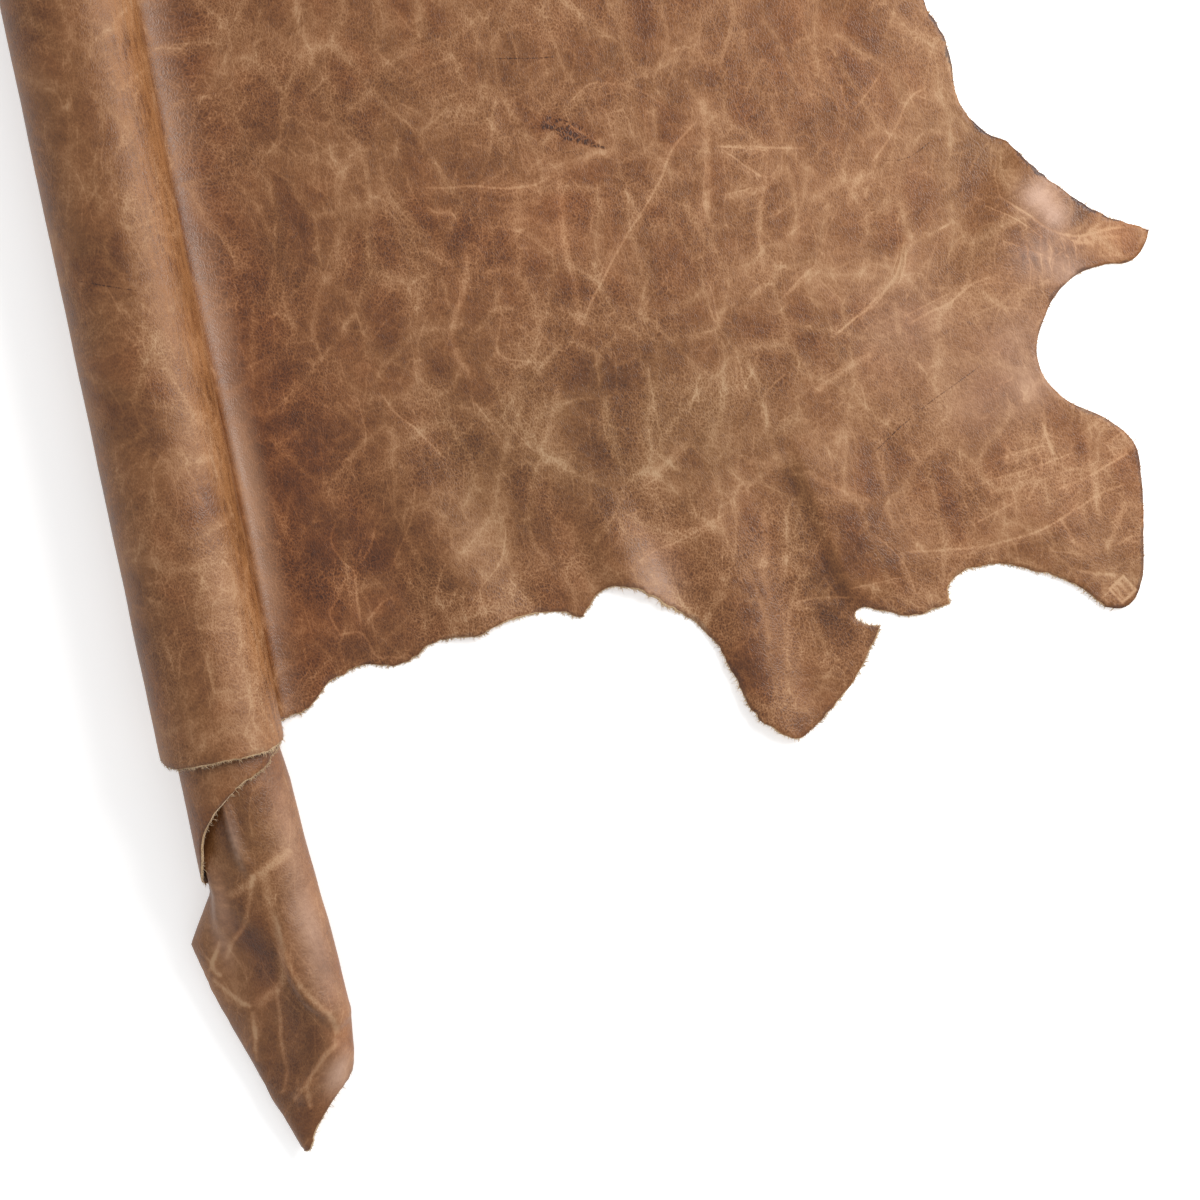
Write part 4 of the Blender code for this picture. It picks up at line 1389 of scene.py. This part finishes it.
def partedFinish(tree, swayed, gates, worn):
    # the worn bands and cores of the nets, and between them the whole finish, darker further in
    bands, cores, whole = 0.0, 0.0, compute(tree, "MULTIPLY_ADD", worn, grainLook["wornIsParted"], 1.0)
    for gate, net in zip(gates, wornNets):
        space = netCells(tree, swayed, net)
        shown = rescale(tree, gate, *grainLook["netShown"])
        band = times(tree, edges(tree, space, net["size"], net["band"]), shown)
        core = times(tree, edges(tree, space, net["size"], net["core"]), shown)
        bands = compute(tree, "MULTIPLY_ADD", band, net["bandTone"], bands)
        cores = compute(tree, "MULTIPLY_ADD", core, net["coreTone"], cores)
        if net["whole"]:
            whole = times(tree, whole, rescale(tree, space, *net["whole"]))
    return compute(tree, "ADD", bands, cores), whole


def creaseLines(tree):
    # the listed creases: pale cores, brighter where two cross
    lines = 0.0
    for half in ("One", "Two"):
        far = split(tree, marked(tree, "crease" + half, "Vector"))
        wearAndShade = split(tree, marked(tree, "strength" + half, "Vector"))
        for channel in range(3):
            core = rescale(tree, compute(tree, "ABSOLUTE", far[channel]), *grainLook["creaseCore"])
            # below 0 a crease's strength is painted shade and darkens the colour
            lines = compute(tree, "MULTIPLY_ADD", core, wearAndShade[channel], lines)
    return lines


def clampMark(tree):
    # a square with a rim and ridges across it
    place = split(tree, marked(tree, "clamp", "Vector"))
    fromMiddle = compute(tree, "MAXIMUM", *(compute(tree, "ABSOLUTE", side) for side in place[:2]))
    square = rescale(tree, fromMiddle, *clampPrints["square"])
    rim = times(tree, square, rescale(tree, fromMiddle, *clampPrints["rim"]))
    bars = compute(tree, "SINE", compute(tree, "MULTIPLY", place[0], clampPrints["ridges"]))
    bars = times(tree, square, compute(tree, "MULTIPLY_ADD", bars, *clampPrints["ridgeShare"]))
    return times(tree, compute(tree, "MAXIMUM", rim, bars), place[2])


def rollMasks(tree, spot):
    # masks for the parts of the roll
    wound, along = marked(tree, "wound"), spot[1]

    def begins(part, place=wound):
        return rescale(tree, place, *rollParts[part])

    def ends(part, place=wound):
        return rescale(tree, place, *rollParts[part], 1.0, 0.0)

    bent = compute(tree, "SUBTRACT", wound, begins("higher", along))
    return dict(
        onRoll=begins("roll"), onShank=begins("shank"),
        # the crown, where a highlight is painted paler
        crownHighlight=times(tree, begins("crown", bent), ends("crownEnd")),
        onWall=times(tree, begins("wall"), ends("wallEnd", bent)),
        footSheen=times(
            tree, begins("foot"), ends("footEnd"), begins("footFades", along), begins("footStarts", along),
        ),
        atHead=begins("head", spot[0]), atBelly=begins("belly", along),
    )


def makeGrain():
    material, tree, shader = newMaterial("waxed grain")
    look = grainLook
    flatCut = addNode(tree, "UVMap", uv_map="flat cut").outputs["UV"]
    swayed = warped(tree, warped(tree, flatCut, *look["sway"]), *look["bend"])
    ruffled = warped(tree, flatCut, *look["ruffle"])
    zones = split(tree, patches(tree, flatCut, look["zones"], output="Color"), "Color")
    gates = split(tree, patches(tree, swayed, look["gates"], output="Color"), "Color")

    # worn: where the finish has crackled most; the rest is smooth and darker
    worn = rescale(tree, zones[0], *look["worn"])
    veins, whole = partedFinish(tree, swayed, gates, worn)
    crackle, pebbles = netLines(tree, ruffled, crackleNet), netLines(tree, ruffled, pebbleNet)
    hairs = strokes(tree, turned(tree, ruffled, look["hairShift"]), *look["hairs"])
    mottle = patches(tree, swayed, *look["mottle"])
    spot = split(tree, flatCut)
    haze, gathered = marked(tree, "haze"), marked(tree, "gathered")
    masks = rollMasks(tree, spot)

    grain = addUp(tree, "grain", dict(
        crackle=centred(tree, crackle, look["crackleMiddle"]),
        pebbles=centred(tree, pebbles, look["pebbleMiddle"]),
        speckle=centred(tree, patches(tree, flatCut, *look["speckle"])),
    ))
    crackled = rescale(tree, zones[1], *look["crackled"])
    grain = times(tree, grain, compute(tree, "MULTIPLY_ADD", crackled, *look["crackledGrain"]))
    calm = addUp(tree, "calm", dict(masks, haze=haze))
    veined = addUp(tree, "veined", masks)

    folds = netCells(tree, ruffled, wrinkleNet)
    between = times(tree, rescale(tree, folds, *look["betweenWrinkles"]), gathered)
    shown = rescale(tree, patches(tree, ruffled, look["partings"], 1.0), *look["wrinkleShown"])
    wrinkles = times(tree, edges(tree, folds, wrinkleNet["size"], wrinkleNet["band"]), gathered, shown)
    longLines = [
        times(tree, netLines(tree, swayed, net), rescale(tree, gates[net["gate"]], *net["shown"]))
        for net in longNets
    ]
    scratch = split(tree, marked(tree, "scratch", "Vector"))
    scratched = rescale(tree, compute(tree, "ABSOLUTE", scratch[0]), *look["scratch"])
    scratched = times(tree, scratched, scratch[1], rescale(tree, pebbles, *look["scratchGaps"]))
    creases, pressed = creaseLines(tree), clampMark(tree)

    tone = addUp(tree, "tone", dict(
        masks, tone=marked(tree, "tone"), halo=marked(tree, "halo"), creases=creases, wrinkles=wrinkles,
        between=between, veins=times(tree, veins, veined), whole=times(tree, whole, veined),
        mottle=centred(tree, mottle), zone=centred(tree, zones[2]), scratched=scratched, pressed=pressed,
        hairs=times(tree, hairs, compute(tree, "MULTIPLY_ADD", worn, *look["wornHairs"])),
        longLines=compute(tree, "ADD", *longLines), grain=times(tree, grain, calm),
    ))
    warmth = addUp(tree, "warmth", dict(
        warm=marked(tree, "warm"), gate=centred(tree, gates[0]), parted=veins, unparted=whole,
    ))
    tint = fillRamp(tree, warmth, look["tints"])
    colour = mixColours(tree, 1.0, fillRamp(tree, tone, look["colours"]), tint, "MULTIPLY")

    # pull-up: the wax parts and turns orange where the leather bends up into the roll
    streaks = patches(tree, turned(tree, flatCut, stretch=look["streakStretch"]), *look["streaks"])
    pulled = times(tree, masks["onWall"], rescale(tree, streaks, *look["streaked"]), look["pulledUp"])
    colour = mixColours(tree, pulled, colour, (*look["pullUp"], 1))
    # and a painted sheen: the band where it bends up from the floor is painted paler and pinker, more in
    # the worn zones
    footSheen = times(tree, masks["footSheen"], rescale(tree, zones[0], *rollParts["footWorn"]))
    colour = mixColours(tree, footSheen, colour, (*look["footSheenColour"], 1))
    # and a painted sheen: pinkish highlights mixed into the colour at the sheen places, patchy with the
    # mottle
    paintedSheenShare = times(tree, haze, rescale(tree, mottle, *look["paintedSheenShare"]))
    colour = mixColours(tree, paintedSheenShare, colour, (*look["paintedSheenColour"], 1))
    soaked = addUp(tree, "soaked", dict(gates=centred(tree, gates[1]), hairs=centred(tree, hairs)))
    reached = compute(tree, "SUBTRACT", marked(tree, "fromEdge"), soaked)
    reached = rescale(tree, reached, *look["soakedOver"])
    stained = times(tree, reached, marked(tree, "stain"), look["stainedBy"])
    colour = mixColours(tree, stained, colour, (*look["stained"], 1))
    tree.links.new(colour, shader.inputs["Base Color"])
    tree.links.new(rescale(tree, tone, *look["roughness"]), shader.inputs["Roughness"])
    shader.inputs["Specular IOR Level"].default_value = look["specular"]

    height = addUp(tree, "height", dict(
        crackle=crackle, pebbles=pebbles, creases=creases, pressed=pressed, wrinkles=wrinkles,
    ))
    height = times(tree, height, addUp(tree, "relief", dict(haze=haze, gathered=gathered, footSheen=footSheen)))
    inputs = {"Strength": look["bumpStrength"], "Distance": look["bumpDepth"], "Height": height}
    tree.links.new(addNode(tree, "Bump", inputs).outputs["Normal"], shader.inputs["Normal"])
    return material


fleshLook = dict(
    colours=((0.25, (0.25, 0.13, 0.062)), (0.5, (0.40, 0.235, 0.125)), (0.75, (0.55, 0.36, 0.215))),
    cutColours=((0.25, (0.34, 0.20, 0.10)), (0.5, (0.50, 0.34, 0.19)), (0.75, (0.66, 0.50, 0.33))),
    napDetail=3.0, napRoughness=0.7, broadScale=22.0, broadDetail=2.0, broadShare=0.7,
    roughness=0.92, specular=0.12, sheen=0.25, bumpStrength=0.5, bumpDepth=0.0006,
)


def makeFlesh(name, colours, napSize, contrast):
    # suede-like flesh and the fibrous cut
    material, tree, shader = newMaterial(name)
    look = fleshLook
    place = addNode(tree, "TexCoord").outputs["Object"]
    inputs = {"Scale": 1000 / napSize, "Detail": look["napDetail"], "Roughness": look["napRoughness"]}
    nap = addNode(tree, "TexNoise", dict(inputs, Vector=place)).outputs["Fac"]
    inputs = {"Vector": place, "Scale": look["broadScale"], "Detail": look["broadDetail"]}
    broad = addNode(tree, "TexNoise", inputs).outputs["Fac"]
    tone = weighed(tree, (centred(tree, nap), contrast), (centred(tree, broad), look["broadShare"]))
    tree.links.new(fillRamp(tree, tone, colours), shader.inputs["Base Color"])
    shader.inputs["Roughness"].default_value = look["roughness"]
    shader.inputs["Specular IOR Level"].default_value = look["specular"]
    shader.inputs["Sheen Weight"].default_value = look["sheen"]
    inputs = {"Strength": look["bumpStrength"], "Distance": look["bumpDepth"], "Height": nap}
    tree.links.new(addNode(tree, "Bump", inputs).outputs["Normal"], shader.inputs["Normal"])
    return material


cutMaterial = makeFlesh("cut edge", fleshLook["cutColours"], napSize=1.1, contrast=1.3)
grainMaterial = makeGrain()
fleshMaterial = makeFlesh("flesh side", fleshLook["colours"], napSize=1.8, contrast=0.9)
for material in (grainMaterial, fleshMaterial, cutMaterial):
    sheet.data.materials.append(material)
edgeFibres.data.materials.append(cutMaterial)
print("grain, flesh and cut edge have their materials")

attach(sheet, "root")
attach(edgeFibres, "root")
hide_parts("leather_side")

# Floor, light and camera. The floor is a pale sheet lit a little from below, as on a light table.
studio = dict(
    cameraHeight=3.4, lens=102, sensor=36, turned=-12,
    worldStrength=0.74, keyPower=44, keySize=1.15, keyColour=(1.0, 0.98, 0.96),
    keyPlace=(1.5, 0.55, 1.45), keyTarget=(-0.1, 0, 0),
    floorSize=9, floorDrop=0.0006, floorColour=(0.92, 0.92, 0.92), floorRoughness=0.9, floorGlow=0.32,
)
bpy.ops.object.select_all(action="DESELECT")
bpy.ops.mesh.primitive_plane_add(size=studio["floorSize"], location=(0, 0, -studio["floorDrop"]))
floor = bpy.context.object
floor.name = "floor"
paper, _, paperShader = newMaterial("floor paper")
paperShader.inputs["Base Color"].default_value = (*studio["floorColour"], 1)
paperShader.inputs["Roughness"].default_value = studio["floorRoughness"]
paperShader.inputs["Emission Color"].default_value = (1, 1, 1, 1)
paperShader.inputs["Emission Strength"].default_value = studio["floorGlow"]
floor.data.materials.append(paper)

world = bpy.data.worlds.new("studio")
bpy.context.scene.world = world
world.use_nodes = True
world.node_tree.nodes["Background"].inputs["Color"].default_value = (1, 1, 1, 1)
world.node_tree.nodes["Background"].inputs["Strength"].default_value = studio["worldStrength"]

keyLight = bpy.data.lights.new("softbox", "AREA")
keyLight.energy = studio["keyPower"]
keyLight.size = studio["keySize"]
keyLight.color = studio["keyColour"]
key = bpy.data.objects.new("softbox", keyLight)
bpy.context.scene.collection.objects.link(key)
key.location = studio["keyPlace"]
key.rotation_euler = (Vector(studio["keyTarget"]) - key.location).to_track_quat("-Z", "Y").to_euler()

cameraData = bpy.data.cameras.new("camera")
cameraData.lens = studio["lens"]
cameraData.sensor_width = studio["sensor"]
camera = bpy.data.objects.new("camera", cameraData)
bpy.context.scene.collection.objects.link(camera)
camera.location = (*sidePlace, studio["cameraHeight"])
camera.rotation_euler = (0, 0, math.radians(studio["turned"]))
bpy.context.scene.camera = camera
bpy.context.scene.view_settings.view_transform = "Standard"
print("floor, light and camera are in")
